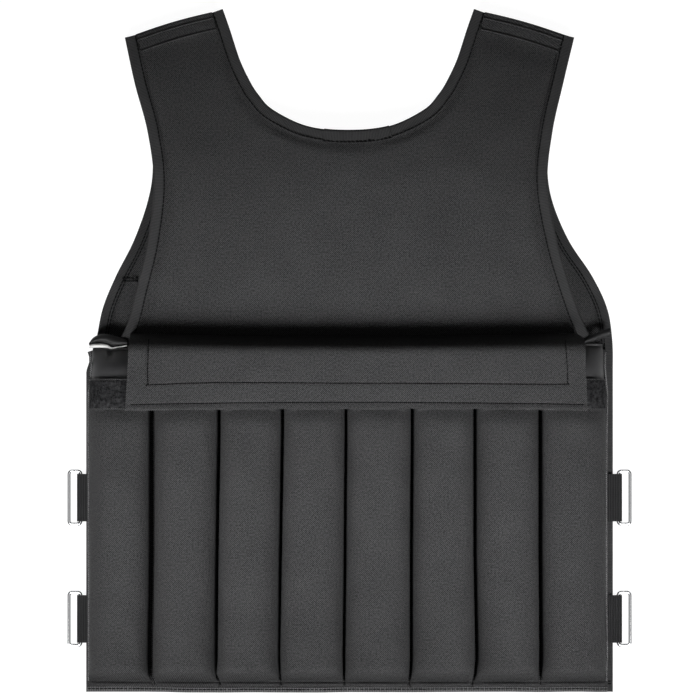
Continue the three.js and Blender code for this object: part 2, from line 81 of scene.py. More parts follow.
# Unevenness of the padded cloth: size of its hills across and along, share of the swell
PANEL_HILLS = [(46, 52, 0.7), (17, 21, 0.22)]

# Armhole edge: share of the length down from the top, half widths as shares of half the panel's width
BACK_ARMHOLE = [
    (0.109, 0.805, 0.800),
    (0.180, 0.756, 0.759),
    (0.238, 0.748, 0.752),
    (0.285, 0.769, 0.773),
    (0.340, 0.820, 0.834),
    (0.391, 0.887, 0.921),
    (0.438, 0.937, 0.978),
    (0.485, 0.963, 0.998),
]
BACK_ARMHOLE_END = 0.53
# Neckline: share of the neck's depth, half width as a share of its width at the shoulders
NECKLINE = [
    (0.153, 0.948),
    (0.416, 0.864),
    (0.613, 0.773),
    (0.712, 0.709),
    (0.810, 0.625),
    (0.909, 0.462),
    (0.965, 0.319),
    (0.993, 0.159),
    (1.000, 0.000),
]


def corners(node):
    """Lowest and highest corner of a CAD node, in millimetres."""
    low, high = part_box(node)
    return np.array(low) / MM, np.array(high) / MM


BOTTOM = cad_box[0].y / MM
TOP = cad_box[1].y / MM
LENGTH = TOP - BOTTOM
BACK_HALF = corners("back_binding")[1][0]
FRONT_LEFT = corners("bottom_binding")[0][0]
FRONT_RIGHT = corners("bottom_binding")[1][0]


def spline(points, pieces):
    """A smooth line through the points. Between two of them it is the cubic whose slope at each end
    is half the step between the neighbours of that end."""
    p = np.asarray(points, float)
    p = np.vstack([p[:1], p, p[-1:]])
    t = np.linspace(0, len(p) - 3, pieces + 1)
    i = np.minimum(t.astype(int), len(p) - 4)
    f = (t - i)[:, None]
    a, b, c, d = p[i], p[i + 1], p[i + 2], p[i + 3]
    bend = (2 * a - 5 * b + 4 * c - d) * f**2 + (3 * b - a - 3 * c + d) * f**3
    return b + ((c - a) * f + bend) / 2


def run_of(line):
    """Distance along a line at each of its points: the sum of the steps so far."""
    steps = np.linalg.norm(np.diff(line, axis=0), axis=1)
    return np.concatenate([[0], np.cumsum(steps)])


def evenly(line, count):
    """The line with count points spaced evenly along its length."""
    line = np.asarray(line, float)
    run = run_of(line)
    at = np.linspace(0, run[-1], count)
    return np.stack([np.interp(at, run, line[:, k]) for k in range(line.shape[1])], axis=1)


def armhole(table, side, middle, half, end):
    """Edge from the shoulder's outer corner to the panel's side: a smooth line through the table's rows,
    each at middle + side * share * half across and TOP - down * LENGTH up."""
    rows = [(middle + side * row[1 if side < 0 else 2] * half, TOP - row[0] * LENGTH) for row in table]
    first = (side * SHOULDER_OUTER, TOP - SHOULDER_DROP)
    return spline([first, *rows, (middle + side * half, TOP - end * LENGTH)], EDGE_PIECES)


def neck_half(side, lower=0.0):
    """One half of the neckline, from the shoulder's inner corner to the middle of the vest."""
    rows = [(NECK_SHIFT + side * half * SHOULDER_INNER, TOP - down * NECK_DEPTH) for down, half in NECKLINE]
    line = spline([(NECK_SHIFT + side * SHOULDER_INNER, TOP), *rows], EDGE_PIECES)
    return line - np.array([0, lower])


def grid(rows, columns):
    """Corner numbers of the four-sided faces between the points of a grid."""
    first = (np.arange(rows - 1)[:, None] * columns + np.arange(columns - 1)).ravel()
    return np.stack([first, first + columns, first + columns + 1, first + 1], axis=1)


def panel_net(outer_left, inner_left, inner_right, outer_right):
    """Points and faces of a panel. On each half, point (u, v) lies on the straight line from the outer
    edge at v to the inner edge at v: (1 - s) * outer + s * inner, with s = u eased towards both ends.
    Points that coincide on the middle line become one."""
    u = np.linspace(0, 1, PANEL_COLUMNS)
    s = (0.4 * u + 0.6 * (3 * u**2 - 2 * u**3))[None, :, None]
    halves = []
    for outer, inner in ((outer_left, inner_left), (inner_right, outer_right)):
        a = evenly(outer, PANEL_ROWS)[:, None]
        b = evenly(inner, PANEL_ROWS)[:, None]
        halves.append(((1 - s) * a + s * b).reshape(-1, 2))
    faces = grid(PANEL_ROWS, PANEL_COLUMNS)
    faces = np.vstack([faces, faces + PANEL_ROWS * PANEL_COLUMNS])
    points = np.vstack(halves)
    _, first, same = np.unique(np.round(points, 3), axis=0, return_index=True, return_inverse=True)
    return points[first], same.reshape(-1)[faces]


def distance_to(points, line):
    """Distance in the plane from each point to the nearest place on a line."""
    a = line[:-1]
    step = np.diff(line, axis=0)
    best = np.full(len(points), np.inf)
    for start, along in zip(a, step):
        from_start = points - start
        t = np.clip(from_start @ along / max(along @ along, 1e-9), 0, 1)
        best = np.minimum(best, np.linalg.norm(from_start - t[:, None] * along, axis=1))
    return best


def eased(t):
    """0 up to t = 0, 1 from t = 1 on, and 3t² - 2t³ between."""
    t = np.clip(t, 0, 1)
    return t * t * (3 - 2 * t)


def hills(x, y, cell_x, cell_y, seed):
    """Gentle unevenness from -1 to 1: chance heights on a lattice of cells, blended by the same cubic."""
    size = 64
    heights = np.random.default_rng(seed).uniform(-1, 1, (size, size))
    gx = x / cell_x + size / 2
    gy = y / cell_y + size / 2
    i = np.floor(gx).astype(int)
    j = np.floor(gy).astype(int)
    fx = eased(gx - i)
    fy = eased(gy - j)
    low = heights[i % size, j % size] * (1 - fx) + heights[(i + 1) % size, j % size] * fx
    high = heights[i % size, (j + 1) % size] * (1 - fx) + heights[(i + 1) % size, (j + 1) % size] * fx
    return low * (1 - fy) + high * fy


def shell(upper, lower, faces):
    """A closed cloth from its two faces: the upper points, the lower ones under them with their faces
    turned over, and a strip of faces along every edge that only one face has."""
    count = len(upper)
    a = faces.ravel()
    b = np.roll(faces, -1, axis=1).ravel()
    free = ~np.isin(a * count + b, b * count + a)
    a, b = a[free], b[free]
    rim = np.stack([b, a, a + count, b + count], axis=1)
    return np.vstack([upper, lower]), np.vstack([faces, faces[:, ::-1] + count, rim])


def make(name, points, faces, uv, finish, body="vest", crease=50):
    """A mesh object in metres from points in millimetres. Its faces are turned outwards by the sign of
    the volume that they enclose, and uv holds each point's place on the flat cloth in metres."""
    p = np.asarray(points, float) * MM
    corner = p[faces]
    volume = np.einsum("ij,ij->", corner[:, 0], np.cross(corner[:, 1], corner[:, 2]))
    volume += np.einsum("ij,ij->", corner[:, 0], np.cross(corner[:, 2], corner[:, 3]))
    faces = faces[:, ::-1] if volume < 0 else faces
    mesh = bpy.data.meshes.new(name)
    mesh.from_pydata(p, [], faces)
    layer = mesh.uv_layers.new(name="cloth")
    layer.data.foreach_set("uv", np.asarray(uv, np.float32)[faces.ravel()].ravel())
    mesh.shade_smooth()
    mesh.set_sharp_from_angle(angle=math.radians(crease))
    mesh.materials.append(finish.material)
    made = bpy.data.objects.new(name, mesh)
    bpy.context.scene.collection.objects.link(made)
    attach(made, body)
    return made


class Value:
    """A number in a material's nodes. Sums on it add Math nodes."""

    def __init__(self, finish, socket):
        self.finish = finish
        self.socket = socket

    def __add__(self, other):
        return self.finish.sum("ADD", self, other)

    def __sub__(self, other):
        return self.finish.sum("SUBTRACT", self, other)

    def __rsub__(self, other):
        return self.finish.sum("SUBTRACT", other, self)

    def __mul__(self, other):
        return self.finish.sum("MULTIPLY", self, other)

    def __pow__(self, other):
        return self.finish.sum("POWER", self, other)

    __radd__ = __add__
    __rmul__ = __mul__


class Finish:
    """One material: a shader whose fixed numbers are set on its sockets, and nodes that vary the rest."""

    def __init__(self, name, **fixed):
        self.material = bpy.data.materials.new(name)
        self.material.use_nodes = True
        self.tree = self.material.node_tree
        self.shader = self.tree.nodes["Principled BSDF"]
        for socket, value in fixed.items():
            self.shader.inputs[socket.replace("_", " ")].default_value = value

    def node(self, kind, settings=None, sockets=None, output=0):
        """One node: its settings first, then a value or a link for each socket. Gives one output."""
        made = self.tree.nodes.new(kind)
        for key, value in (settings or {}).items():
            setattr(made, key, value)
        for key, value in (sockets or {}).items():
            if isinstance(value, Value):
                self.tree.links.new(value.socket, made.inputs[key])
            else:
                made.inputs[key].default_value = value
        return Value(self, made.outputs[output])

    def sum(self, operation, *terms):
        return self.node("ShaderNodeMath", {"operation": operation}, dict(enumerate(terms)))

    def sine(self, phase):
        """A wave from 0 to 1 with one turn for each whole number of phase."""
        return self.sum("SINE", phase * (2 * math.pi)) * 0.5 + 0.5

    def noise(self, place, scale, detail=2.0):
        """Chance pattern from 0 to 1 with features of 1 / scale metres."""
        return self.node(
            "ShaderNodeTexNoise",
            {"noise_dimensions": "3D"},
            {"Vector": place, "Scale": scale, "Detail": detail},
        )

    def mix(self, share, first, second):
        return self.node("ShaderNodeMix", {"data_type": "RGBA"}, {0: share, 6: first, 7: second}, 2)

    def on_cloth(self):
        """Place on the flat cloth: the vector, then its two coordinates in metres."""
        place = self.node("ShaderNodeUVMap", {"uv_map": "cloth"})
        x = self.node("ShaderNodeSeparateXYZ", None, {0: place}, 0)
        y = self.node("ShaderNodeSeparateXYZ", None, {0: place}, 1)
        return place, x, y

    def raise_by(self, height, strength, depth):
        """Bump from a height between 0 and 1, depth being its real size in metres."""
        bump = self.node(
            "ShaderNodeBump", None, {"Strength": strength, "Distance": depth, "Height": height}
        )
        self.tree.links.new(bump.socket, self.shader.inputs["Normal"])

    def feed(self, socket, value):
        self.tree.links.new(value.socket, self.shader.inputs[socket])


def twill(name, dark, light, roughness, period):
    """Nylon twill: fine ribs rising to the right, crossed by the threads, with grain and faint mottling."""
    finish = Finish(name, Specular_IOR_Level=0.07)
    place, x, y = finish.on_cloth()
    rib = finish.sine((x - y) * (1000 / period))
    thread = finish.sine((x + y) * (1000 / (period * 0.53)))
    grain = finish.noise(place, 1500, 1)
    mottle = finish.noise(place, 32, 3)
    speck = finish.noise(place, 620, 2)
    share = rib * 0.78 + thread * 0.3 + grain * 1.2 + speck * 1.1 + mottle * 0.24 - 1.36
    finish.feed("Base Color", finish.mix(share, dark, light))
    finish.feed("Roughness", mottle * 0.12 + (roughness - 0.06))
    finish.raise_by(rib * 0.6 + thread * 0.2 + grain * 0.4, 0.8, 0.00036)
    return finish


cloth = twill("nylon_twill", CLOTH_DARK, CLOTH_LIGHT, CLOTH_ROUGHNESS, TWILL_PERIOD)

back_armhole_left = armhole(BACK_ARMHOLE, -1, 0, BACK_HALF, BACK_ARMHOLE_END)
back_armhole_right = armhole(BACK_ARMHOLE, 1, 0, BACK_HALF, BACK_ARMHOLE_END)
back_neck_left = neck_half(-1, BACK_NECK_LOWER)
back_neck_right = neck_half(1, BACK_NECK_LOWER)


def inset_panel(points, middle, edge):
    """Draws a panel's points in by RIM_LOW, so that its rim stays inside the tape's fold."""
    half = (FRONT_RIGHT - FRONT_LEFT) / 2
    near = 1 - eased(distance_to(points, edge) / TAPE_WIDTH)
    away = points - np.array([middle, points[:, 1].mean()])
    return points - near[:, None] * RIM_LOW * away / half


def flat_base(x, y):
    """Height of the surface that the back lies on."""
    return np.zeros_like(x)


def panel(name, nets, edges, base, swell, finish, hill_seed, dip=flat_base):
    """A padded panel: two cloths, RIM_LOW and RIM_HIGH over its base under the tape, that part to the
    full thickness over SWELL_REACH beside it, the upper one with a swell and gentle hills."""
    points, faces = nets
    x, y = points.T
    open_share = eased((distance_to(points, edges) - TAPE_WIDTH) / SWELL_REACH)
    uneven = sum(
        share * hills(x, y, wide, long, hill_seed + k) for k, (wide, long, share) in enumerate(PANEL_HILLS)
    )
    high = RIM_HIGH + (PANEL_THICKNESS - RIM_HIGH + swell * (1 + uneven)) * open_share
    high -= dip(x, y) * open_share
    low = RIM_LOW * (1 - open_share)
    upper = np.column_stack([points, base(x, y) + high])
    lower = np.column_stack([points, base(x, y) + low])
    all_points, all_faces = shell(upper, lower, faces)
    return make(name, all_points, all_faces, np.vstack([points, points]) * MM, finish)


def inner_line(line, distance):
    """The line moved to its left by a distance, with mitred bends."""
    step = np.diff(line, axis=0)
    step /= np.linalg.norm(step, axis=1)[:, None]
    before = np.vstack([step[:1], step])
    after = np.vstack([step, step[-1:]])
    middle = before + after
    middle /= np.linalg.norm(middle, axis=1)[:, None]
    reach = distance / np.sum(middle * before, axis=1)
    return line + np.column_stack([-middle[:, 1], middle[:, 0]]) * reach[:, None]


def joined(*parts):
    """Lines set end to end, without the doubled points where they meet."""
    return np.vstack([parts[0], *[part[1:] for part in parts[1:]]])


def straight(start, end, count=60):
    """Points spaced evenly from start to end."""
    return np.linspace(start, end, count)


def panel_lines(left, right, neck_left, neck_right, bottom_left, bottom_right):
    """The four long lines between which a panel is ruled."""
    low_middle = np.array([neck_left[-1][0], bottom_left[1]])
    outer_left = joined(left, straight(left[-1], bottom_left))
    outer_right = joined(right, straight(right[-1], bottom_right))
    inner_left = joined(neck_left, straight(neck_left[-1], low_middle))
    inner_right = joined(neck_right, straight(neck_right[-1], low_middle))
    return outer_left, inner_left, inner_right, outer_right


back_lines = panel_lines(
    back_armhole_left,
    back_armhole_right,
    back_neck_left,
    back_neck_right,
    (-BACK_HALF, BOTTOM),
    (BACK_HALF, BOTTOM),
)
back_edge = joined(
    back_lines[0][::-1],
    straight(back_lines[0][0], back_neck_left[0], 4),
    back_neck_left,
    back_neck_right[::-1],
    straight(back_neck_right[0], back_lines[3][0], 4),
    back_lines[3],
    straight(back_lines[3][-1], back_lines[0][-1], 4),
)
points, faces = panel_net(*back_lines)
points = inset_panel(points, 0, back_edge)
back_cloth = panel("back_cloth", (points, faces), back_edge, flat_base, BACK_SWELL, cloth, 11)
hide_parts("back_panel")

# The tape round the back
# Grosgrain tape, 25 mm wide, folded lengthwise over the panel's edge and sewn through with two rows
# of stitches. It puckers a little between the stitches.
TAPE_THICKNESS = 1.0
TAPE_ROUND = 1.7
TAPE_STEP = 2.6
LONG_PUCKER = 9.0
SHORT_PUCKER = 3.4
SHORT_PUCKER_SHARE = 0.6
PUCKER_HEIGHT = 0.22
TAPE_DARK = (0.0070, 0.0070, 0.0073, 1)
TAPE_LIGHT = (0.0700, 0.0700, 0.0715, 1)
RIB_PERIOD = 1.25
STITCH_LENGTH = 3.3
STITCH_PITCH = 3.5
THREAD_RADIUS = 0.5
STITCH_INSET = 1.5
SECOND_STITCH_INSET = 3.6
THREAD_LIFT = 0.28
SHORT_SEAM_YS = (61.6, 59.0)
SHORT_SEAM_LEFT = -193.4
SHORT_SEAM_RIGHT = -179.0
THREAD_COLOUR = (0.0042, 0.0042, 0.0044, 1)
# A stitch's four rings: place along it as a share of its length, thickness and lift as shares of its radius
BEAD = [(-0.5, 0.25, -0.35), (-0.3, 1.0, 0.25), (0.3, 1.0, 0.25), (0.5, 0.25, -0.35)]
BEAD_SIDES = 6


def ribbed(name, dark, light, period, roughness=0.7):
    """Ribbed tape or webbing: ribs across its length, along the cloth's first coordinate."""
    finish = Finish(name, Specular_IOR_Level=0.08)
    place, x, y = finish.on_cloth()
    rib = finish.sine(x * (1000 / period))
    cross = finish.sine(y * (1000 / (period * 0.7)))
    grain = finish.noise(place, 1300, 2)
    patch = finish.noise(place, 60, 2)
    share = rib * 0.42 + cross * 0.1 + grain * 0.42 + patch * 0.24 - 0.1
    finish.feed("Base Color", finish.mix(share, dark, light))
    finish.feed("Roughness", grain * 0.1 + roughness)
    finish.raise_by(rib * 0.8 + cross * 0.25 + grain * 0.3, 0.7, 0.0003)
    return finish


tape_finish = ribbed("grosgrain_tape", TAPE_DARK, TAPE_LIGHT, RIB_PERIOD)


def tape_section(width, height):
    """Outer and inner line of the folded tape across its edge, as distance in from the edge and height:
    level along the top, half an ellipse round the edge, level along the bottom."""
    turn = np.linspace(0, math.pi, 13)
    level = np.linspace(width, TAPE_ROUND, 8)[:-1]

    def fold(inset):
        reach = TAPE_ROUND - inset
        round_in = TAPE_ROUND - reach * np.sin(turn)
        round_up = height / 2 + (height / 2 - inset) * np.cos(turn)
        across = np.concatenate([level, round_in, level[::-1]])
        up = np.concatenate([np.full(7, height - inset), round_up, np.full(7, inset)])
        return across, up

    return fold(0.0), fold(TAPE_THICKNESS)


def fold_tape(name, line, width, height, base, seed, ripple=PUCKER_HEIGHT, low=0.0, finish=tape_finish):
    """A tape carried along an edge line: at each station the section stands across the line, to its left,
    and rises with the base under it. Its outer face waves with hills along the run."""
    line = evenly_kept(line, TAPE_STEP)
    outer, inner = tape_section(width, height)
    run = run_of(line)
    none = np.zeros_like(run)
    wave = hills(run, none, LONG_PUCKER, 1, seed)
    wave = wave + SHORT_PUCKER_SHARE * hills(run, none, SHORT_PUCKER, 1, seed + 1)
    sides = []
    for across, up in (outer, inner):
        rows = np.stack([inner_line(line, d) for d in across], axis=1)
        lift = wave[:, None] * ripple * (np.asarray(up) > height / 2)
        z = base(rows[..., 0], rows[..., 1]) + low + np.asarray(up) + lift
        sides.append(np.dstack([rows, z]).reshape(-1, 3))
    faces = grid(len(line), len(outer[0]))
    points, faces = shell(sides[0], sides[1], faces)
    around = run_of(np.column_stack(outer))
    flat = np.dstack(np.broadcast_arrays(run[:, None], around[None, :])).reshape(-1, 2)
    made = make(name, points, faces, np.vstack([flat, flat]) * MM, finish)
    return made


def evenly_kept(line, step):
    """The line with points about a step apart, keeping every sharp corner as a point."""
    way = np.diff(line, axis=0)
    way /= np.linalg.norm(way, axis=1)[:, None]
    turn = np.sum(way[1:] * way[:-1], axis=1)
    marks = [0, *(np.flatnonzero(turn < 0.8) + 1), len(line) - 1]
    parts = []
    for a, b in zip(marks[:-1], marks[1:]):
        part = line[a:b + 1]
        count = max(3, round(run_of(part)[-1] / step))
        parts.append(evenly(part, count))
    return joined(*parts)


back_run = joined(back_lines[0], straight(back_lines[0][-1], back_lines[3][-1]), back_lines[3][::-1])
back_neck_run = joined(back_neck_left, back_neck_right[::-1])[::-1]
back_tape = fold_tape("back_tape", back_run, TAPE_WIDTH, PANEL_THICKNESS, flat_base, 21)
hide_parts("back_binding")
back_neck_tape = fold_tape("back_neck_tape", back_neck_run, TAPE_WIDTH, PANEL_THICKNESS, flat_base, 23)
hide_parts("back_neck_binding")


def toned(colour, factor):
    """A colour made lighter or darker by a factor."""
    return (*[factor * c for c in colour[:3]], 1)


def thread():
    """Twisted polyester thread, dull and a little uneven."""
    finish = Finish("sewing_thread", Specular_IOR_Level=0.03, Roughness=0.8)
    place = finish.node("ShaderNodeTexCoord", None, None, 3)
    ply = finish.noise(place, 2600, 1)
    finish.feed("Base Color", finish.mix(ply, THREAD_COLOUR, toned(THREAD_COLOUR, 3)))
    return finish


thread_finish = thread()


def stitch_row(line, pitch=STITCH_PITCH):
    """Middles and directions of the stitches along a line in space, a pitch apart."""
    count = max(2, round(run_of(line)[-1] / pitch))
    marks = evenly(line, 2 * count + 1)
    way = marks[2::2] - marks[:-2:2]
    return marks[1::2], way / np.linalg.norm(way, axis=1)[:, None]


def stitches(name, rows, body="vest", radius=THREAD_RADIUS, length=STITCH_LENGTH):
    """One mesh of stitches. Each is a bent bead of thread: four rings of six points about its line, whose
    radius follows a half circle at the ends and which stand highest in the middle."""
    middle = np.vstack([row[0] for row in rows])
    way = np.vstack([row[1] for row in rows])
    side = np.cross(way, np.array([0.0, 0.0, 1.0]))
    side /= np.linalg.norm(side, axis=1)[:, None]
    top = np.cross(side, way)
    along, thick, lift = (np.array(column) for column in zip(*BEAD))
    turn = np.arange(BEAD_SIDES) * 2 * math.pi / BEAD_SIDES
    out = thick[:, None] * radius * np.cos(turn)
    up = lift[:, None] * radius + thick[:, None] * radius * np.sin(turn)
    p = (
        middle[:, None, None]
        + (along * length)[None, :, None, None] * way[:, None, None]
        + out[None, :, :, None] * side[:, None, None]
        + up[None, :, :, None] * top[:, None, None]
    ).reshape(-1, 3)
    ring = np.arange(BEAD_SIDES)
    follow = (ring + 1) % BEAD_SIDES
    low = BEAD_SIDES * np.arange(len(BEAD) - 1)[:, None]
    high = low + BEAD_SIDES
    around = np.stack([low + ring, low + follow, high + follow, high + ring], axis=-1).reshape(-1, 4)
    ends = [[0, 5, 4, 3], [3, 2, 1, 0], [18, 19, 20, 21], [21, 22, 23, 18]]
    bead = np.vstack([around, ends])
    faces = bead[None] + BEAD_SIDES * len(BEAD) * np.arange(len(middle))[:, None, None]
    return make(name, p, faces.reshape(-1, 4), p[:, :2] * MM, thread_finish, body, crease=80)


def sewn(line, inset, base, height, low=0.0):
    """A row of stitches at an inset to the left of an edge line, at a height over a base."""
    flat = inner_line(evenly_kept(line, TAPE_STEP), inset)
    z = base(flat[:, 0], flat[:, 1]) + height + low
    return stitch_row(np.column_stack([flat, z]))


ON_TAPE = PANEL_THICKNESS + THREAD_LIFT
back_rows = [
    sewn(back_run, TAPE_WIDTH - STITCH_INSET, flat_base, ON_TAPE),
    sewn(back_run, TAPE_WIDTH - SECOND_STITCH_INSET, flat_base, ON_TAPE),
    sewn(back_neck_run, TAPE_WIDTH - STITCH_INSET, flat_base, ON_TAPE),
]
for seam_y in SHORT_SEAM_YS:
    seam = straight((SHORT_SEAM_LEFT, seam_y, 0.0), (SHORT_SEAM_RIGHT, seam_y, 0.0))
    seam[:, 2] = PANEL_THICKNESS + 2 * BACK_SWELL
    back_rows.append(stitch_row(seam))
back_stitches = stitches("back_stitches", back_rows)

# The front of the vest
# The same padded twill as the back. It arches over the back, from the folded shoulders up to its full
# height at the chest, and droops at the sides down to the webbing.
FRONT_ARMHOLE = [
    (0.109, 0.819, 0.830),
    (0.180, 0.769, 0.788),
    (0.256, 0.745, 0.769),
    (0.340, 0.769, 0.806),
    (0.411, 0.813, 0.860),
    (0.462, 0.848, 0.910),
    (0.488, 0.895, 0.953),
]
FRONT_ARMHOLE_END = 0.502
FOLD_LIFT = 3.9
SIDE_LIFT = 6.8
MIDDLE_LIFT = 16.6
RISE_REACH = 0.27
SIDE_DROOP_POWER = 6
FRONT_SWELL = 0.7
SHOULDER_DENT = 2.3
SHOULDER_DENT_IN = 17.0
SHOULDER_DENT_HALF = 15.0
CREASE_DEPTH = 2.9
CREASE_Y = 11.5
CREASE_HALF = 10.0
FRONT_MIDDLE = (FRONT_LEFT + FRONT_RIGHT) / 2
FRONT_HALF = (FRONT_RIGHT - FRONT_LEFT) / 2


def arch(x, y):
    """Height of the front's underside: FOLD_LIFT at the shoulders, eased over RISE_REACH of the length
    up to SIDE_LIFT at the sides and MIDDLE_LIFT in the middle, which fall off by a sixth power."""
    line = np.minimum(np.abs(x - FRONT_MIDDLE) / FRONT_HALF, 1)
    full = SIDE_LIFT - FOLD_LIFT + (MIDDLE_LIFT - SIDE_LIFT) * (1 - line**SIDE_DROOP_POWER)
    return FOLD_LIFT + eased((TOP - y) / LENGTH / RISE_REACH) * full


front_armhole_left = armhole(FRONT_ARMHOLE, -1, FRONT_MIDDLE, FRONT_HALF, FRONT_ARMHOLE_END)
front_armhole_right = armhole(FRONT_ARMHOLE, 1, FRONT_MIDDLE, FRONT_HALF, FRONT_ARMHOLE_END)
neck_left = neck_half(-1)
neck_right = neck_half(1)
front_lines = panel_lines(
    front_armhole_left,
    front_armhole_right,
    neck_left,
    neck_right,
    (FRONT_LEFT, BOTTOM),
    (FRONT_RIGHT, BOTTOM),
)
front_edge = joined(
    front_lines[0][::-1],
    straight(front_lines[0][0], neck_left[0], 4),
    neck_left,
    neck_right[::-1],
    straight(neck_right[0], front_lines[3][0], 4),
    front_lines[3],
    straight(front_lines[3][-1], front_lines[0][-1], 4),
)
points, faces = panel_net(*front_lines)
points = inset_panel(points, FRONT_MIDDLE, front_edge)


def flap_crease(x, y):
    """Dents of the front along the flap's seam and along the shoulder's inner seam: bell curves."""
    out = np.abs(x - NECK_SHIFT) - SHOULDER_INNER
    from_shoulder = TOP - SHOULDER_DROP / (SHOULDER_OUTER - SHOULDER_INNER) * out - y
    at_shoulder = SHOULDER_DENT * np.exp(-(((from_shoulder - SHOULDER_DENT_IN) / SHOULDER_DENT_HALF) ** 2))
    return CREASE_DEPTH * np.exp(-(((y - CREASE_Y) / CREASE_HALF) ** 2)) + at_shoulder


front_cloth = panel("front_cloth", (points, faces), front_edge, arch, FRONT_SWELL, cloth, 31, flap_crease)
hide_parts("front_panel")
2 * FRONT_HALF * MM

# The tapes of the front's neck, armholes and hem
# The same grosgrain, folded round the edges. The hem's tape holds the front and the flat end of the
# pocket cloth together. Its grosgrain is a copy over twice as light: painted light where the lamps fall on
# the hem.
HEM_TAPE_WIDTH = 4.2
LAP_LEFT = -22.5
LAP_RIGHT = 33.6
LAP_OVER = 0.5
HEM_HEIGHT = 7.7
HEM_LOW = -1.3
HEM_WAVE = 0.5
HEM_WAVE_LENGTH = 27.0
HEM_PUCKER = 0.35
HEM_RIB = 2.0
# The hem tape's light colour is painted light: over twice the other tapes', for the lamps on the hem.
HEM_TAPE_PAINTED_LIGHT = (0.155, 0.155, 0.158, 1)
neck_run = joined(neck_left, neck_right[::-1])[::-1]
armhole_run_left = front_armhole_left
armhole_run_right = front_armhole_right[::-1]
hem_run = straight((FRONT_LEFT, BOTTOM), (FRONT_RIGHT, BOTTOM), 200)
hem_wave = hills(hem_run[:, 0], 0 * hem_run[:, 0], HEM_WAVE_LENGTH, 1, 48)
hem_run[:, 1] += HEM_WAVE * (1 + hem_wave)
neck_tape = fold_tape("front_neck_tape", neck_run, TAPE_WIDTH, PANEL_THICKNESS, arch, 41)
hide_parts("front_neck_binding")
in_lap = (neck_run[:, 0] > LAP_LEFT) & (neck_run[:, 0] < LAP_RIGHT)
lap = neck_run[in_lap & (neck_run[:, 1] < TOP - NECK_DEPTH / 2)]
fold_tape(
    "neck_tape_lap",
    inner_line(lap, -LAP_OVER),
    TAPE_WIDTH + 2 * LAP_OVER,
    PANEL_THICKNESS + 2 * LAP_OVER,
    arch,
    49,
    low=-LAP_OVER / 2,
)
armhole_tape_left = fold_tape(
    "front_armhole_tape_left", armhole_run_left, TAPE_WIDTH, PANEL_THICKNESS, arch, 43
)
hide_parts("front_armhole_binding_left")
armhole_tape_right = fold_tape(
    "front_armhole_tape_right", armhole_run_right, TAPE_WIDTH, PANEL_THICKNESS, arch, 45
)
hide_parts("front_armhole_binding_right")
# A lighter copy of the grosgrain for the hem: painted light.
hem_finish_painted_light = ribbed("hem_grosgrain_painted_light", TAPE_DARK, HEM_TAPE_PAINTED_LIGHT, HEM_RIB)
hem_tape = fold_tape(
    "hem_tape", hem_run, HEM_TAPE_WIDTH, HEM_HEIGHT, arch, 47, HEM_PUCKER, HEM_LOW, hem_finish_painted_light
)
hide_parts("bottom_binding")
front_rows = [
    sewn(neck_run, TAPE_WIDTH - STITCH_INSET, arch, ON_TAPE),
    sewn(lap, TAPE_WIDTH - LAP_OVER, arch, ON_TAPE + LAP_OVER),
    sewn(armhole_run_left, TAPE_WIDTH - STITCH_INSET, arch, ON_TAPE),
    sewn(armhole_run_right, TAPE_WIDTH - STITCH_INSET, arch, ON_TAPE),
    sewn(hem_run, HEM_TAPE_WIDTH - STITCH_INSET, arch, HEM_HEIGHT + HEM_LOW + 0.2),
]
front_stitches = stitches("front_stitches", front_rows)

# The shoulders
# The cloth of the front turns over each shoulder and down to the back, and two felled seams run along
# the turn, each a raised ridge with its row of stitches.
FOLD_DEPTH = 17.0
FOLD_BOW = 1.3
FOLD_THICKNESS = 1.2
FOLD_CLEARANCE = 0.3
RIDGE_FROM_EDGE = (5.1, 15.1)
RIDGE_HEIGHT = 0.9
RIDGE_HALF = 0.9
RIDGE_TO_SEAM = 1.4
SHOULDER_THREAD = 0.2
SHOULDER_PUCKER = 0.22
SHOULDER_POINTS = 60
BEND_POINTS = 6
PUCKER_FROM = 8
LEVEL_POINTS = 44
UNDER_TAPE = 1.0


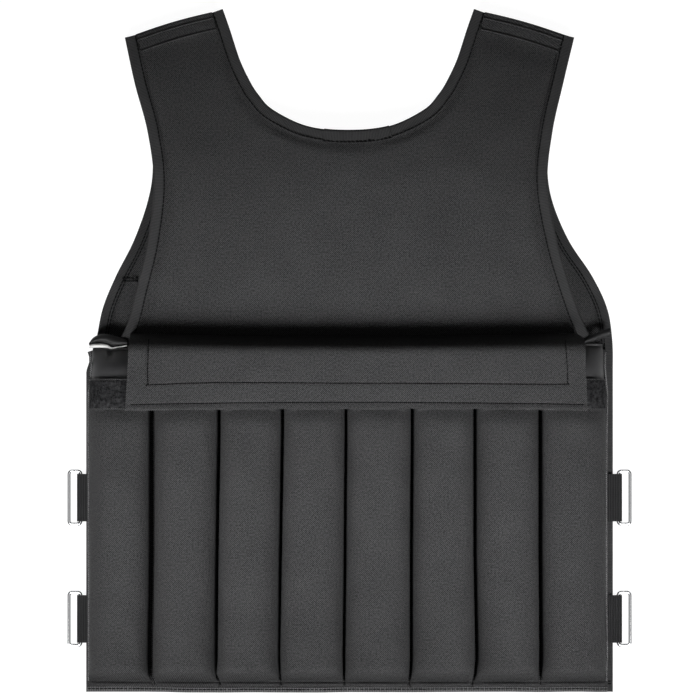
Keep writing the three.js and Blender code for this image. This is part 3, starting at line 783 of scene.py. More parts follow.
def shoulder_fold(name, start, end, node, seed):
    """A cloth carried along the shoulder line. Across it, the cloth climbs from the surface, rounds the
    edge and runs inwards for FOLD_DEPTH with two ridges, each a bell curve RIDGE_HALF wide."""
    line = straight(start, end, SHOULDER_POINTS)
    line[:, 1] += FOLD_BOW * np.sin(np.linspace(0, math.pi, SHOULDER_POINTS))
    quarter = np.linspace(0, math.pi / 2, BEND_POINTS)
    level = np.linspace(FOLD_THICKNESS, FOLD_DEPTH, LEVEL_POINTS)[1:]
    inward = np.concatenate([np.zeros(BEND_POINTS), FOLD_THICKNESS * (1 - np.cos(quarter)), level])
    turned = 2 * BEND_POINTS
    top = PANEL_THICKNESS + FOLD_CLEARANCE + FOLD_THICKNESS
    crown = arch(np.array([0.0]), np.array([TOP]))[0] + top
    bend_low = crown - FOLD_THICKNESS
    climb = np.linspace(FOLD_CLEARANCE / 2, bend_low, BEND_POINTS)
    rows = np.stack([inner_line(line, d) for d in inward], axis=1)
    height = np.zeros(rows.shape[:2])
    height[:, :BEND_POINTS] = climb
    height[:, BEND_POINTS:turned] = bend_low + FOLD_THICKNESS * np.sin(quarter)
    over = arch(rows[:, turned:, 0], rows[:, turned:, 1]) + top
    ridges = sum(np.exp(-(((inward[turned:] - at) / RIDGE_HALF) ** 2)) for at in RIDGE_FROM_EDGE)
    height[:, turned:] = over + RIDGE_HEIGHT * ridges
    pucker = hills(rows[:, PUCKER_FROM:, 0], rows[:, PUCKER_FROM:, 1], 11, 5, seed)
    height[:, PUCKER_FROM:] += SHOULDER_PUCKER * pucker
    shift = np.clip(FOLD_THICKNESS - inward, 0, None)
    inner_rows = rows + np.stack([inner_line(line, d) for d in shift], axis=1) - line[:, None]
    inner_height = height - FOLD_THICKNESS
    inner_height[:, :PUCKER_FROM] = height[:, :PUCKER_FROM]
    inner_height[:, BEND_POINTS:turned] = np.minimum(inner_height[:, BEND_POINTS:turned], bend_low)
    inner_height[:, :BEND_POINTS] = climb * bend_low / crown
    upper = np.dstack([rows, height]).reshape(-1, 3)
    lower = np.dstack([inner_rows, inner_height]).reshape(-1, 3)
    points, faces = shell(upper, lower, grid(len(line), len(inward)))
    around = run_of(np.column_stack([inward, height[SHOULDER_POINTS // 2]]))
    run = run_of(line)
    flat = np.dstack(np.broadcast_arrays(run[:, None], around[None, :])).reshape(-1, 2)
    made = make(name, points, faces, np.vstack([flat, flat]) * MM, cloth)
    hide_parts(node)
    seams = []
    for at in RIDGE_FROM_EDGE:
        seam = inner_line(line, at + RIDGE_TO_SEAM)
        z = arch(seam[:, 0], seam[:, 1]) + top + 0.05
        seams.append(stitch_row(np.column_stack([seam, z])))
    return seams


def between_tapes(start, end):
    """The part of a shoulder line that lies between its two tapes."""
    start = np.array(start, float)
    end = np.array(end, float)
    way = (end - start) / np.linalg.norm(end - start)
    return start + way * (TAPE_WIDTH - UNDER_TAPE), end - way * (TAPE_WIDTH - UNDER_TAPE)


shoulder_rows = []
left_line = between_tapes(neck_left[0], front_armhole_left[0])
right_line = between_tapes(front_armhole_right[0], neck_right[0])
shoulder_rows += shoulder_fold("shoulder_fold_left", *left_line, "shoulder_left", 51)
shoulder_rows += shoulder_fold("shoulder_fold_right", *right_line, "shoulder_right", 52)
shoulder_stitches = stitches("shoulder_stitches", shoulder_rows, radius=SHOULDER_THREAD)

# The pocket cloth
# One wide cloth sewn down to the front in channels, which makes eight tall pockets. Filled bags round
# each of them, and at the hem the cloth is drawn in, with a small fold at the end of each seam.
POCKET_COUNT = 8
POCKET_CLOTH = 1.2
POCKET_HEIGHT = 25.8
POCKET_ROOM = POCKET_HEIGHT - POCKET_CLOTH
SECTION_POWER = 2 / 2.2
WIDEST = 0.25
TUCKED = 0.11
LOW_POINTS = 4
# Distance between the walls on both sides of each seam, and at the outer seams twice their distance in
WALL_GAPS = [3.4, 4.2, 2.2, 2.1, 2.0, 2.2, 2.2, 2.6, 3.4]
# Dips below the flap's edge: depth as a share of the pocket's height, its lowest y and its reach
DIPS = [(0.3, -64, 24), (0.08, -115, 55)]
DIP_END = -50.0
DIP_END_REACH = 7.0
CLEARANCE = 0.3
ON_FRONT = PANEL_THICKNESS + CLEARANCE
MOUTH_Y = corners("pocket_sheet")[1][1]
POCKET_END = BOTTOM + HEM_TAPE_WIDTH + CLEARANCE
END_REACH = 20.0
END_LIP = 5.2
END_WALL = 7.6
END_ROUND = 7.0
LIP_SHARE = 0.14
WALL_SHARE = 0.86
TUBE_COLUMNS = 26
END_ROWS = 44
TUBE_ROWS = 76
HEM_COVER = 1.6
# Lumps of a filled pocket: their size across and along, and their height
POCKET_LUMPS = [(15, 44, 0.75), (9, 13, 0.25)]
DRAG_SLANT = 0.7
DRAG_WIDTH = 7.0
DRAG_LENGTH = 30.0
DRAG_HEIGHT = 1.3
DRAG_REACH = 60.0
POCKET_PITCH = 2 * FRONT_HALF / POCKET_COUNT
# Inner seams: millimetres right of even spacing, at the share of the way down that opens the row
SEAM_PATHS = [
    (0.00, (0.0, 1.8, 0.3, -1.3, -0.4, -2.7, -2.6)),
    (0.17, (0.0, 1.8, 0.3, -1.3, -0.4, -2.7, -2.6)),
    (0.56, (0.0, 0.1, -1.4, -2.1, -1.2, -2.7, -2.6)),
    (0.90, (-1.4, -0.7, -3.0, -3.0, -1.2, -1.0, -1.9)),
    (0.955, (-1.2, -1.6, -2.4, -3.0, -1.8, -2.2, -2.4)),
    (1.00, (3.4, 4.0, -0.6, -2.6, -3.4, -5.4, -1.8)),
]


def seam_places(y):
    """Place across of each of the nine seams at each height: even spacing plus the path's stray."""
    down = (MOUTH_Y - y) / (MOUTH_Y - POCKET_END)
    at = [row[0] for row in SEAM_PATHS]
    even = FRONT_LEFT + POCKET_PITCH * np.arange(POCKET_COUNT + 1)
    places = np.tile(even, (len(y), 1))
    for k in range(POCKET_COUNT - 1):
        places[:, k + 1] += np.interp(down, at, [row[1][k] for row in SEAM_PATHS])
    return places


def end_share(y):
    """Share of a pocket's height: a flat lip at the hem, a steep end that rounds over, and a slight dip
    below the flap's edge."""
    d = y - POCKET_END
    wall = WALL_SHARE * np.clip((d - END_LIP) / END_WALL, 0, 1) + 0.01
    crown = (1 - WALL_SHARE) * (1 - (1 - np.clip((d - END_LIP - END_WALL) / END_ROUND, 0, 1)) ** 2)
    dip = sum(depth * eased((y - start) / reach) for depth, start, reach in DIPS)
    dip = dip * (1 - eased((y - DIP_END) / DIP_END_REACH))
    lip = LIP_SHARE * np.sin(math.pi * np.clip(d / END_LIP, 0, 1))
    return lip + wall + crown - dip


def pillow(low_points):
    """Section of a pocket, across from -1 to 1 and up from 0 to 1. From the seam the wall leans out to
    its widest at WIDEST of the height, and over it runs an angle: the cosine's size to SECTION_POWER
    across, the sine to the same power up."""
    turn = np.linspace(math.pi, 0, TUBE_COLUMNS)
    across = np.sign(np.cos(turn)) * np.abs(np.cos(turn)) ** SECTION_POWER
    up = WIDEST + (1 - WIDEST) * np.clip(np.sin(turn), 0, None) ** SECTION_POWER
    t = np.arange(low_points) / max(low_points, 1)
    wall = 1 - TUCKED * (1 - t) ** 2
    across = np.concatenate([-wall, across, wall[::-1]])
    return across, np.concatenate([WIDEST * t, up, WIDEST * t[::-1]])


def walls(ys):
    """Left and right wall of each pocket at each height y: the seams less half the gaps."""
    seams = seam_places(ys)
    gaps = np.array(WALL_GAPS) / 2
    return seams[:, :-1] + gaps[:-1], seams[:, 1:] - gaps[1:]


def pocket_net(ys, narrower, height, under, low_points=LOW_POINTS):
    """Points across all pockets at each height y: each pocket's section between its walls, with hills
    on it and drag lines that run down to the hem's corners."""
    across, up = pillow(low_points)
    left, right = walls(ys)
    half = (right - left)[..., None] / 2 - narrower
    x = (left + right)[..., None] / 2 + half * across
    share = end_share(ys)[:, None, None]
    y = np.broadcast_to(ys[:, None, None], x.shape)
    lumps = sum(high * hills(x, y, wide, long, 61 + k) for k, (wide, long, high) in enumerate(POCKET_LUMPS))
    drag = hills(x + DRAG_SLANT * y, y - DRAG_SLANT * x, DRAG_WIDTH, DRAG_LENGTH, 63)
    drag = drag * eased(1.25 - (y - POCKET_END) / DRAG_REACH) * DRAG_HEIGHT
    z = arch(x, y) + ON_FRONT + under + (height * share + (lumps + drag) * share) * up
    outer = seam_places(ys)[:, [0, -1]]
    ends = np.stack([outer, ys[:, None] + 0 * outer, arch(outer, ys[:, None]) + ON_FRONT + under], axis=-1)
    tubes = np.stack([x, y, z], axis=-1).reshape(len(ys), -1, 3)
    return np.concatenate([ends[:, :1], tubes, ends[:, 1:]], axis=1)


def developed(net):
    """Place of each point of a grid on the flat cloth: the run across its middle row, and its place up."""
    step = np.linalg.norm(np.diff(net, axis=1), axis=2)
    across = np.concatenate([[0], np.cumsum(step[len(net) // 2])])
    across = np.broadcast_to(across - across[-1] / 2, net.shape[:2])
    down = np.broadcast_to(net[:, :1, 1], across.shape)
    return np.stack([across, down], axis=-1).reshape(-1, 2)


end_rows = POCKET_END + END_REACH * np.linspace(0, 1, END_ROWS) ** 1.4
ys = np.concatenate([[BOTTOM + HEM_COVER], end_rows, np.linspace(end_rows[-1], MOUTH_Y, TUBE_ROWS)[1:]])
outer = pocket_net(ys, 0.0, POCKET_ROOM, POCKET_CLOTH)
inner = pocket_net(ys, POCKET_CLOTH, POCKET_ROOM, 0.0)
points, faces = shell(outer.reshape(-1, 3), inner.reshape(-1, 3), grid(*outer.shape[:2]))
flat = developed(outer)
pocket_cloth = make("pocket_cloth", points, faces, np.vstack([flat, flat]) * MM, cloth)
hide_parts("pocket_sheet")
seam_ys = np.linspace(POCKET_END + 2, MOUTH_Y - 2, 60)
seam_rows = []
for seam_xs in seam_places(seam_ys).T[1:-1]:
    seam_zs = arch(seam_xs, seam_ys) + ON_FRONT + POCKET_CLOTH + 0.1
    seam_rows.append(stitch_row(np.column_stack([seam_xs, seam_ys, seam_zs])))
stitches("pocket_seam_stitches", seam_rows)

# The pressed side edges of the pocket cloth
# The cloth is turned under at both sides, and the turn shows as a thin roll. The roll's cloth is the twill
# made about three times lighter, a painted highlight for the light that the roll catches.
EDGE_RADIUS = 0.75
EDGE_LIFT = 4.5
EDGE_TOP = -1.5
EDGE_CLIMB = 1.6
EDGE_IN = 0.9
EDGE_WAVE = 0.45
EDGE_POINTS = 150
EDGE_SIDES = 8
# Way inwards beside the first bag's end: y, millimetres in
EDGE_INWARD = [(-36.0, 0.0), (-24.0, 2.0), (-12.0, 3.6), (-4.0, 2.6), (1.0, 0.6)]
# Painted highlight: the roll's light colour is the twill's, made three times lighter.
edge_cloth_painted_highlight = twill("pressed_edge_painted_highlight", CLOTH_DARK, toned(CLOTH_LIGHT, 3.2), 0.5, TWILL_PERIOD)


def side_edge(name, side, x, seed):
    """A roll: a circle of EDGE_SIDES points carried up the vest's side along a slightly wavy line."""
    y = np.linspace(BOTTOM + 10, EDGE_TOP, EDGE_POINTS)
    at, way_in = np.array(EDGE_INWARD).T
    inward = np.interp(y, at, way_in) * (1 if side < 0 else 0.6)
    inward = inward + 0.6 * (inward > 0.4) * hills(y, 0 * y, 9, 1, seed + 4)
    middle = x - side * (EDGE_IN - EDGE_WAVE * hills(y, 0 * y, 42, 1, seed) + inward)
    z = arch(middle, y) + ON_FRONT + EDGE_LIFT + EDGE_CLIMB * inward
    turn = np.arange(EDGE_SIDES + 1) * 2 * math.pi / EDGE_SIDES
    round_x = middle[:, None] + EDGE_RADIUS * np.cos(turn)
    round_z = z[:, None] + EDGE_RADIUS * np.sin(turn)
    net = np.stack([round_x, np.broadcast_to(y[:, None], round_x.shape), round_z], axis=-1)
    faces = grid(*round_x.shape)
    last = faces % (EDGE_SIDES + 1) == EDGE_SIDES
    faces = np.where(last, faces - EDGE_SIDES, faces)
    around = np.arange(EDGE_SIDES + 1)[None] * 0.6
    flat = np.dstack(np.broadcast_arrays(around, y[:, None])).reshape(-1, 2)
    made = make(name, net.reshape(-1, 3), faces, flat * MM, edge_cloth_painted_highlight)


side_edge("pocket_edge_left", -1, FRONT_LEFT, 65)
side_edge("pocket_edge_right", 1, FRONT_RIGHT, 66)

# The weight bags
# Pillows of smooth coated cloth filled with iron grit. Each stands out of its pocket's mouth, where it
# flattens to a sewn end.
BAG_GAP = 0.35
BAG_SEAM = 0.6
BAG_HEM = 3.0
BAG_DARK = (0.022, 0.022, 0.023, 1)
BAG_LIGHT = (0.044, 0.044, 0.0455, 1)
BAG_ENDS = [2.0, 5.5, 4.5, 5.5, 5.0, 5.5, 4.5, 5.5]
BAG_PINCH = [-8.0, 3.0, -2.0, 4.0, 0.0, -4.0, 2.0, 7.0]
BAG_DROP = 1.8
BAG_TAPER = 0.05
BAG_LUMP = 0.9
PINCH_DEPTH = 5.5
PINCH_HALF = 2.2


def coated(name, dark, light):
    """Smooth coated cloth: a close plain weave with a soft gloss and faint creases."""
    finish = Finish(name, Specular_IOR_Level=0.25)
    place, x, y = finish.on_cloth()
    weave = finish.sine(x * 2200) * 0.5 + finish.sine(y * 2200) * 0.5
    crease = finish.noise(place, 90, 3)
    finish.feed("Base Color", finish.mix(crease * 0.8 + weave * 0.2, dark, light))
    finish.feed("Roughness", crease * 0.2 + 0.36)
    finish.raise_by(weave * 0.3 + crease * 0.7, 0.35, 0.0006)
    return finish


bag_finish = coated("coated_bag_cloth", BAG_DARK, BAG_LIGHT)


def weight_bag(i):
    """A pillow in its pocket: up the pocket an angle runs over each row as it does over the pocket, and
    past the mouth the row's height falls off to the sewn end while a pinch draws its middle down."""
    left, right = walls(np.array([MOUTH_Y]))
    middle = (left[0, i] + right[0, i]) / 2
    half = (right[0, i] - left[0, i]) / 2 - POCKET_CLOTH - BAG_GAP
    end = BAG_ENDS[i]
    inside = np.linspace(POCKET_END + 9, MOUTH_Y, 40)
    above = MOUTH_Y + (end - MOUTH_Y) * np.linspace(0, 1, 30)[1:] ** 0.8
    y = np.concatenate([inside, above])
    t = np.clip((y - MOUTH_Y) / (end - MOUTH_Y), 0, 1)
    height = np.maximum(POCKET_ROOM * end_share(y) * (1 - t**2.6) ** 0.8 - BAG_DROP - BAG_SEAM, BAG_HEM)
    across, up = pillow(LOW_POINTS)
    x = middle + half * (1 - BAG_TAPER * t[:, None]) * across[None]
    yy = np.broadcast_to(y[:, None], x.shape)
    lumps = hills(x, yy, 13, 12, 71 + i) * eased(t * 3)[:, None] * BAG_LUMP
    pinch = PINCH_DEPTH * np.exp(-(((x - middle - BAG_PINCH[i]) / PINCH_HALF) ** 2))
    pinch = pinch * eased((t[:, None] - 0.5) / 0.4)
    raised = np.clip(height[:, None] - pinch + lumps - 0.5, BAG_HEM * 0.6, None)
    z = arch(x, yy) + ON_FRONT + BAG_SEAM + raised * up[None]
    under = np.stack([x, yy, arch(x, yy) + ON_FRONT + 0.05], axis=-1)
    upper = np.stack([x, yy, z], axis=-1)
    points, faces = shell(upper.reshape(-1, 3), under.reshape(-1, 3), grid(*x.shape))
    flat = developed(upper)
    made = make(f"bag_{i + 1}", points, faces, np.vstack([flat, flat]) * MM, bag_finish)
    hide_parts(f"weight_bag_{i + 1}")


for number in range(POCKET_COUNT):
    weight_bag(number)

# The turned ends of the outer bags
# The first bag shows a strip of white lining where its end is turned over and sewn, and above it, as at
# the last bag, the turned cloth itself stands up as a soft fold. Both folds wear the bag cloth made about
# four times darker, painted shade. At the last bag the fold is a dark ribbon laid where shade falls by the
# flap.
# Ribbons of turned cloth: place across, y of the lower line, y of the upper line
WHITE_HEM = [
    (-220.6, 1.9, 5.0),
    (-214.0, 2.4, 6.0),
    (-206.0, 2.2, 5.4),
    (-201.5, 1.4, 2.9),
    (-197.0, 2.4, 3.4),
    (-188.5, 3.6, 4.5),
]
LEFT_FOLD = [
    (-221.0, 4.8, 6.4),
    (-217.5, 5.6, 10.8),
    (-212.0, 6.0, 13.6),
    (-206.0, 5.2, 14.0),
    (-199.0, 3.2, 12.2),
    (-188.5, 4.2, 9.0),
]
RIGHT_FOLD = [
    (198.0, 5.2, 8.6),
    (205.0, 6.6, 12.6),
    (213.0, 9.8, 16.6),
    (221.0, 12.4, 19.0),
]
FOLD_WALL = 0.8
WHITE_DARK = (0.62, 0.62, 0.61, 1)
WHITE_LIGHT = (0.84, 0.84, 0.83, 1)


def lining():
    """Plain white lining cloth."""
    finish = Finish("white_lining", Specular_IOR_Level=0.2)
    place, x, y = finish.on_cloth()
    weave = finish.sine(y * 2400) * 0.5 + finish.noise(place, 900, 2) * 0.5
    finish.feed("Base Color", finish.mix(weave, WHITE_DARK, WHITE_LIGHT))
    finish.feed("Roughness", weave * 0.1 + 0.7)
    return finish


def turned_end(name, table, lift, bulge, finish):
    """A ribbon between two smooth lines, which follows the front and rises by half a sine across it."""
    rows = np.array(table)
    low = spline(rows[:, [0, 1]], 70)
    high = spline(rows[:, [0, 2]], 70)
    share = np.linspace(0, 1, 11)
    plane = low[:, None] * (1 - share)[:, None] + high[:, None] * share[:, None]
    x, y = plane[..., 0], plane[..., 1]
    z = arch(x, y) + ON_FRONT + lift + bulge * np.sin(math.pi * share) + 0.5 * hills(x, y, 7, 5, 97)
    upper = np.dstack([plane, z]).reshape(-1, 3)
    lower = upper - np.array([0, 0, FOLD_WALL])
    points, faces = shell(upper, lower, grid(*x.shape))
    made = make(name, points, faces, np.vstack([upper[:, :2], lower[:, :2]]) * MM, finish)


turned_end("bag_1_white_hem", WHITE_HEM, 3.2, 1.2, lining())
# Painted shade: the bag cloth's colours cut to a quarter and a third for the turned folds.
fold_finish_painted_shade = coated("turned_bag_cloth_painted_shade", toned(BAG_DARK, 0.25), toned(BAG_LIGHT, 0.32))
turned_end("bag_1_turned_end_painted_shade", LEFT_FOLD, 1.4, 2.4, fold_finish_painted_shade)
turned_end("bag_8_turned_end_painted_shade", RIGHT_FOLD, 0.8, 1.6, fold_finish_painted_shade)

# The hook-and-loop strip
# A woven strip glued and sewn across the pocket mouths, whose upper face is a pile of short loops. The
# pile is brushed, so its loops lean every way.
STRIP_BELOW_MOUTH = 2.0
STRIP_HEIGHT = 23.0
STRIP_BASE = 0.7
STRIP_TRIM = 3
PILE_COUNT = 3600
PILE_HEIGHT = 1.0
PILE_RADIUS = 0.2
PILE_LENGTH = 1.2
PILE_LEAN = 0.55
PILE_DARK = (0.0045, 0.0045, 0.0048, 1)
PILE_LIGHT = (0.048, 0.048, 0.050, 1)


def pile():
    """Brushed nylon loops. The tuft pattern that raises the bump also darkens its low places between the
    tufts, painted shade, and random patches vary the tone.
    """
    finish = Finish("loop_pile", Roughness=0.95, Specular_IOR_Level=0.05)
    place, x, y = finish.on_cloth()
    tuft = finish.noise(place, 700, 3)
    patch = finish.noise(place, 300, 2)
    # Painted shade: low tuft values, the hollows of the bump, are mixed towards the dark colour.
    finish.feed("Base Color", finish.mix(tuft * 0.8 + patch * 1.6 - 0.85, PILE_DARK, PILE_LIGHT))
    finish.raise_by(tuft, 1.0, 0.0008)
    return finish


pile_finish = pile()
strip_high = MOUTH_Y - STRIP_BELOW_MOUTH
strip_ys = np.linspace(strip_high - STRIP_HEIGHT, strip_high, 16)
strip_under = POCKET_CLOTH + CLEARANCE
strip_lower = pocket_net(strip_ys, -CLEARANCE, POCKET_ROOM, strip_under, 0)
strip_lower = strip_lower[:, STRIP_TRIM:-STRIP_TRIM]
strip_upper = pocket_net(strip_ys, -CLEARANCE, POCKET_ROOM, strip_under + STRIP_BASE, 0)
strip_upper = strip_upper[:, STRIP_TRIM:-STRIP_TRIM]
faces = grid(*strip_upper.shape[:2])
points, faces = shell(strip_upper.reshape(-1, 3), strip_lower.reshape(-1, 3), faces)
flat = developed(strip_upper)
loop_strip = make("hook_loop_strip", points, faces, np.vstack([flat, flat]) * MM, pile_finish)
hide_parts("loop_strip")

chance = np.random.default_rng(81)
row = chance.uniform(0, len(strip_ys) - 1.01, PILE_COUNT)
column = chance.uniform(0, strip_upper.shape[1] - 1.01, PILE_COUNT)
i, j = row.astype(int), column.astype(int)
f, g = (row - i)[:, None], (column - j)[:, None]
root = (strip_upper[i, j] * (1 - g) + strip_upper[i, j + 1] * g) * (1 - f)
root += (strip_upper[i + 1, j] * (1 - g) + strip_upper[i + 1, j + 1] * g) * f
lean = chance.normal(0, PILE_LEAN, (PILE_COUNT, 2))
stand = np.column_stack([lean, np.ones(PILE_COUNT)])
tip = root + stand * PILE_HEIGHT * chance.uniform(0.5, 1, (PILE_COUNT, 1))
way = (tip - root) / np.linalg.norm(tip - root, axis=1)[:, None]
pile_loops = stitches("pile_loops", [((root + tip) / 2, way)], radius=PILE_RADIUS, length=PILE_LENGTH)
pile_loops.data.materials.clear()
pile_loops.data.materials.append(pile_finish.material)

# The flap
# A double cloth sewn to the bib along its upper edge. It climbs over the bag tops and lies on the strip,
# with a stitched hem and a box of stitches that holds the other strip under it.
FLAP_CLOTH = 2.0
PLATEAU = 27.9
CLIMB_SHARE = 0.29
CLIMB_POWER = 3.7
FLAP_TOP_LEFT = -185.7
FLAP_TOP_RIGHT = 198.4
FLAP_LOW_LEFT = -189.0
FLAP_LOW_RIGHT = 200.4
FLAP_TOP_Y = 12.6
FLAP_TOP_SAG = 2.6
FLAP_LOW_Y = -51.0
FLAP_LOW_SAG = 2.0
HEM_STITCH = 5.2
BOX_LEFT = -169.6
BOX_RIGHT = 183.0
BOX_LOW_Y = -28.2
BOX_GROOVE_SHARE = 0.75
HEM_ROLL = 0.5
HEM_ROLL_IN = 2.2
HEM_ROLL_HALF = 1.8
CORNER_ROUND = 7.0
STITCH_LIFT = 0.3
GROOVE_DEPTH = 0.5
SEAM_THREAD = 0.42
SEAM_STITCH = 3.5
GROOVE_HALF = 1.1
FLAP_ROWS = 76
FLAP_COLUMNS = 250


def normals(net):
    """Unit normal at each point of a grid: the cross product of its steps down and across."""
    down = np.gradient(net, axis=0)
    across = np.gradient(net, axis=1)
    way = np.cross(across, down)
    way /= np.linalg.norm(way, axis=2)[..., None]
    return way * np.where(way[..., 2].mean() < 0, -1, 1)


def flap_net():
    """The flap's underside. Down it, a share s runs from the seam on the bib to the lower edge; its
    height climbs as 1 - (1 - s / CLIMB_SHARE)^CLIMB_POWER to the plateau. Across, it runs between its
    two sides."""
    s = np.linspace(0, 1, FLAP_ROWS)[:, None] ** 1.25
    u = np.linspace(0, 1, FLAP_COLUMNS)[None]
    round_corner = CORNER_ROUND * np.clip(1 - s / 0.1, 0, 1) ** 2
    left = FLAP_TOP_LEFT + (FLAP_LOW_LEFT - FLAP_TOP_LEFT) * s
    right = FLAP_TOP_RIGHT + (FLAP_LOW_RIGHT - FLAP_TOP_RIGHT) * s - round_corner
    x = left + (right - left) * u
    bow = 1 - (2 * u - 1) ** 2
    top = FLAP_TOP_Y - FLAP_TOP_SAG * bow
    low = FLAP_LOW_Y + FLAP_LOW_SAG * bow + 0.35 * hills(x, 0 * x, 30, 1, 91)
    y = top + (low - top) * s
    climb = 1 - (1 - np.minimum(s / CLIMB_SHARE, 1)) ** CLIMB_POWER
    z = arch(x, y) + ON_FRONT + PLATEAU * climb + 0.1
    return np.stack([x, y, z + 0 * u], axis=-1)


flap_under = flap_net()
flap_x = flap_under[..., 0].ravel()
flap_y = flap_under[..., 1].ravel()
flap_plane = np.column_stack([flap_x, flap_y])
hem_line = np.column_stack([
    np.linspace(FLAP_LOW_LEFT + 4, FLAP_LOW_RIGHT - 2, 80),
    FLAP_LOW_Y + HEM_STITCH + FLAP_LOW_SAG * (1 - np.linspace(-1, 1, 80) ** 2),
])
box_line = spline(
    [
        (BOX_LEFT, FLAP_TOP_Y - 3),
        (BOX_LEFT - 0.6, BOX_LOW_Y + 12),
        (BOX_LEFT - 0.4, BOX_LOW_Y - 0.2),
        (BOX_LEFT + 2, BOX_LOW_Y - 0.8),
        (-110, BOX_LOW_Y + 1.0),
        (-20, BOX_LOW_Y + 0.6),
        (90, BOX_LOW_Y + 0.2),
        (BOX_RIGHT - 6, BOX_LOW_Y - 0.4),
        (BOX_RIGHT + 0.4, BOX_LOW_Y + 2),
        (BOX_RIGHT + 0.6, BOX_LOW_Y + 14),
        (BOX_RIGHT - 1, FLAP_TOP_Y - 3),
    ],
    260,
)


def groove(line):
    """Depth of the dent that a row of stitches draws: a bell curve across the row."""
    return GROOVE_DEPTH * np.exp(-((distance_to(flap_plane, line) / GROOVE_HALF) ** 2))


dent = (groove(hem_line) + BOX_GROOVE_SHARE * groove(box_line)).reshape(FLAP_ROWS, FLAP_COLUMNS)
puff = 0.45 * hills(flap_x, flap_y, 26, 18, 93) + 0.18 * hills(flap_x, flap_y, 8, 9, 94)
hem_roll = HEM_ROLL * np.exp(-(((flap_y - FLAP_LOW_Y - HEM_ROLL_IN) / HEM_ROLL_HALF) ** 2))
thick = FLAP_CLOTH - dent + (puff * 0.6 + hem_roll).reshape(FLAP_ROWS, FLAP_COLUMNS)
flap_over = flap_under + normals(flap_under) * thick[..., None]
points, faces = shell(
    flap_over.reshape(-1, 3), flap_under.reshape(-1, 3), grid(FLAP_ROWS, FLAP_COLUMNS)
)
slope = run_of(flap_over[:, FLAP_COLUMNS // 2])
flat = np.stack([flap_over[..., 0], np.broadcast_to(-slope[:, None], flap_over.shape[:2])], axis=-1)
flat = flat.reshape(-1, 2)
flap = make("flap_cloth", points, faces, np.vstack([flat, flat]) * MM, cloth)
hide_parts("flap")


def on_flap(line):
    """A line of the plane laid on the flap's upper face, by the nearest point of its grid."""
    spots = flap_over.reshape(-1, 3)
    near = np.array([np.argmin(np.sum((spots[:, :2] - p) ** 2, axis=1)) for p in line])
    return np.column_stack([line, spots[near, 2] + STITCH_LIFT])


flap_stitches = stitches(
    "flap_stitches",
    [stitch_row(on_flap(evenly(hem_line, 160))), stitch_row(on_flap(evenly(box_line, 200)))],
    radius=SEAM_THREAD,
    length=SEAM_STITCH,
)

# The side tabs and rings
# Polyester webbing, 40 mm wide, sewn in between front and back and folded round the straight bar of a
# ring of bright plated wire. The ring turns in its fold.
WEBBING_THICKNESS = 1.3
TONGUE_LENGTH = 28.0
TAB_COLUMNS = 46
BAR_OUT = 4.6
WIRE = 3.2
RING_REACH = 10.2
RING_CORNER = 2.6
WEBBING_DARK = (0.0075, 0.0075, 0.0080, 1)
WEBBING_LIGHT = (0.036, 0.036, 0.037, 1)
RING_STEEL = (0.86, 0.87, 0.88, 1)

webbing = ribbed("side_webbing", WEBBING_DARK, WEBBING_LIGHT, 2.1, 0.66)


def tab_section():
    """Outer and inner line of the folded webbing, across and up from the bar's middle: out along the
    lower layer, a turn round the bar and back along the upper layer."""
    bore = WIRE / 2 + CLEARANCE
    loop = bore + WEBBING_THICKNESS
    low = PANEL_THICKNESS + CLEARANCE - loop
    reach = np.linspace(-BAR_OUT - TONGUE_LENGTH, -loop, 14)
    turn = np.linspace(-math.pi + 0.25, math.pi / 2, 30)
    out = [(x, low + 0.02) for x in reach] + [(loop * math.cos(a), loop * math.sin(a)) for a in turn]
    back = np.linspace(0, 1, 16)[1:]
    high = low + 2 * WEBBING_THICKNESS
    settle = eased(back * 2.6)
    out += [(-b * (BAR_OUT + TONGUE_LENGTH), loop + (high - loop) * e) for b, e in zip(back, settle)]
    out = spline(out, 110)
    way = np.gradient(out, axis=0)
    way /= np.linalg.norm(way, axis=1)[:, None]
    inside = out + np.column_stack([-way[:, 1], way[:, 0]]) * (WEBBING_THICKNESS - 0.06)
    return out, inside


def side_tab(number, side, node):
    """Webbing as its section carried along the vest's side."""
    low, high = corners(node)
    across = np.linspace(low[1], high[1], TAB_COLUMNS)
    bar_x = side * (BACK_HALF + BAR_OUT)
    bar_z = WIRE / 2 + CLEARANCE + WEBBING_THICKNESS
    outer_line, inner = tab_section()
    sides = []
    for line in (outer_line, inner):
        x, y, z = np.broadcast_arrays((bar_x + side * line[:, :1]), across[None], bar_z + line[:, 1:])
        sides.append(np.stack([x, y, z], axis=-1).reshape(-1, 3))
    points, faces = shell(sides[0], sides[1], grid(len(outer_line), TAB_COLUMNS))
    run = run_of(outer_line)
    flat = np.dstack(np.broadcast_arrays(run[:, None], across[None])).reshape(-1, 2)
    made = make(f"side_tab_{number}", points, faces, np.vstack([flat, flat]) * MM, webbing)
    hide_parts(node)


def plated():
    """Bright nickel plate with faint rubbing marks."""
    finish = Finish("bright_wire", Metallic=1.0)
    place = finish.node("ShaderNodeTexCoord", None, None, 3)
    rub = finish.noise(place, 350, 3)
    finish.feed("Base Color", finish.mix(rub, (0.80, 0.81, 0.82, 1), RING_STEEL))
    finish.feed("Roughness", rub * 0.06 + 0.07)
    return finish


plate = plated()


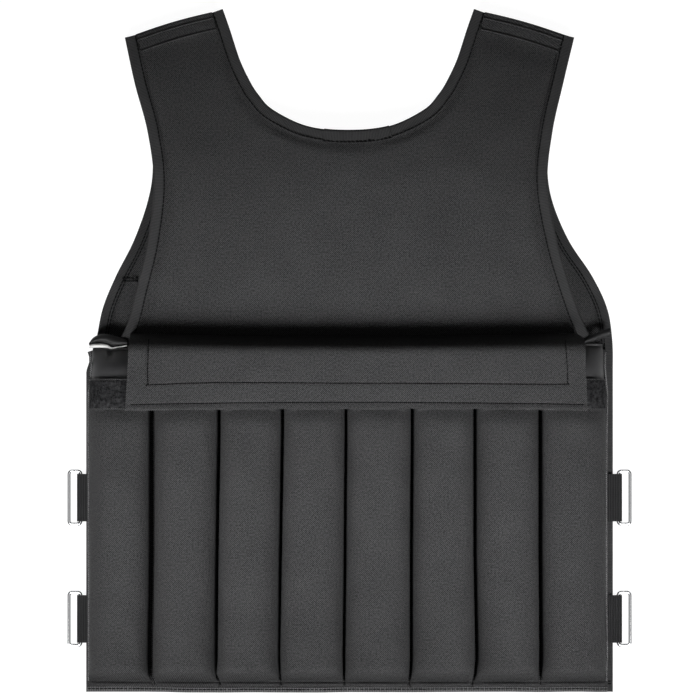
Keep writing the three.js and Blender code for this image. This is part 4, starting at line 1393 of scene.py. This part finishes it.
def wire_ring(number, body, side, node):
    """A wire bent to a rectangle with round corners: a circle of sixteen points carried round the
    rectangle, which tilts down outwards until its outer bar lies on the surface."""
    low, high = corners(node)
    wire = WIRE / 2
    half = (high[1] - low[1]) / 2 - wire
    corner_at = [
        (RING_REACH - RING_CORNER, half - RING_CORNER),
        (RING_CORNER, half - RING_CORNER),
        (RING_CORNER, RING_CORNER - half),
        (RING_REACH - RING_CORNER, RING_CORNER - half),
    ]
    path = []
    for k, (cx, cy) in enumerate(corner_at):
        turns = np.linspace(k * math.pi / 2, (k + 1) * math.pi / 2, 9)
        arc = np.column_stack([cx + RING_CORNER * np.cos(turns), cy + RING_CORNER * np.sin(turns)])
        path.append(np.column_stack([arc, np.cos(turns), np.sin(turns)]))
    path = np.vstack(path)
    angle = np.arange(16) * math.pi / 8
    x = path[:, 0:1] + path[:, 2:3] * wire * np.cos(angle)
    y = path[:, 1:2] + path[:, 3:4] * wire * np.cos(angle)
    z = np.broadcast_to(wire * np.sin(angle), x.shape)
    loop = wire + CLEARANCE + WEBBING_THICKNESS
    tilt = math.asin((loop - wire) / RING_REACH)
    turned_x = x * math.cos(tilt) + z * math.sin(tilt)
    turned_z = z * math.cos(tilt) - x * math.sin(tilt)
    middle_y = (low[1] + high[1]) / 2
    net = np.stack([side * (BACK_HALF + BAR_OUT + turned_x), middle_y + y, loop + turned_z], axis=-1)
    rows, columns = x.shape
    i = np.arange(rows)[:, None]
    j = np.arange(columns)[None]
    here = i * columns + j
    on = ((i + 1) % rows) * columns + j
    on_next = ((i + 1) % rows) * columns + (j + 1) % columns
    beside = i * columns + (j + 1) % columns
    faces = np.stack([here, on, on_next, beside], axis=-1).reshape(-1, 4)
    points = net.reshape(-1, 3)
    made = make(f"wire_ring_{number}", points, faces, points[:, :2] * MM, plate, body, crease=80)
    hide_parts(node)


for number, (body, side) in enumerate(
    [("ring_left_upper", -1), ("ring_left_lower", -1), ("ring_right_upper", 1), ("ring_right_lower", 1)], 1
):
    side_tab(number, side, f"webbing_tab_{number}")
    wire_ring(number, body, side, f"ring_{number}")

# The studio
# A pale plain floor that gives off light, a soft light at each side of the hem, a large card overhead
# that shows in reflections only, and a camera that looks straight down. Lengths are in metres.
CAMERA_HEIGHT = 6.0
SEEN_WIDTH = 0.595
FLOOR_HALF = 4.0
LIGHT_ASIDE = 0.42
LIGHT_HEIGHT = 0.50
LIGHT_SIZE = 0.28
LIGHT_POWER = 1.42
CARD_HEIGHT = 2.5
CARD_SIZE = 2.6
CARD_POWER = 17.0


def lamp(name, place, aim, size, power, spread):
    """A square soft light at a place, turned towards its aim."""
    light = bpy.data.lights.new(name, "AREA")
    light.shape = "SQUARE"
    light.size = size
    light.energy = power
    light.spread = math.radians(spread)
    made = bpy.data.objects.new(name, light)
    made.location = place
    way = np.array(aim) - np.array(place)
    made.rotation_mode = "XYZ"
    made.rotation_euler = (
        math.atan2(math.hypot(way[0], way[1]), -way[2]),
        0,
        math.atan2(way[0], -way[1]) + math.pi if abs(way[0]) + abs(way[1]) > 0 else 0,
    )
    made.visible_camera = False
    bpy.context.scene.collection.objects.link(made)
    return made


for name, side in (("left_light", -1), ("right_light", 1)):
    place = (side * LIGHT_ASIDE, -LIGHT_ASIDE, LIGHT_HEIGHT)
    lamp(name, place, (0, 0.03, 0), LIGHT_SIZE, LIGHT_POWER, 80)
ceiling = lamp("ceiling_card", (0, 0, CARD_HEIGHT), (0, 0, 0), CARD_SIZE, CARD_POWER, 180)
ceiling.visible_diffuse = False

world = bpy.data.worlds.new("studio")
world.use_nodes = True
world.node_tree.nodes["Background"].inputs["Color"].default_value = (1, 1, 1, 1)
world.node_tree.nodes["Background"].inputs["Strength"].default_value = 0.04
bpy.context.scene.world = world
bpy.context.scene.view_settings.view_transform = "Standard"

floor_mesh = bpy.data.meshes.new("floor")
floor_corners = [(FLOOR_HALF * a, FLOOR_HALF * b, 0) for a, b in ((-1, -1), (1, -1), (1, 1), (-1, 1))]
floor_mesh.from_pydata(floor_corners, [], [(0, 1, 2, 3)])
floor = bpy.data.objects.new("floor", floor_mesh)
bpy.context.scene.collection.objects.link(floor)
floor_finish = Finish("pale_floor", Base_Color=(0.15, 0.15, 0.15, 1), Roughness=0.9, Specular_IOR_Level=0.1)
floor_finish.shader.inputs["Emission Color"].default_value = (1, 1, 1, 1)
floor_finish.shader.inputs["Emission Strength"].default_value = 0.97
floor_mesh.materials.append(floor_finish.material)
floor.visible_diffuse = False

camera_data = bpy.data.cameras.new("camera")
camera_data.lens = camera_data.sensor_width * CAMERA_HEIGHT / SEEN_WIDTH
camera = bpy.data.objects.new("camera", camera_data)
camera.location = (0.0004, 0.0004, CAMERA_HEIGHT)
bpy.context.scene.collection.objects.link(camera)
bpy.context.scene.camera = camera
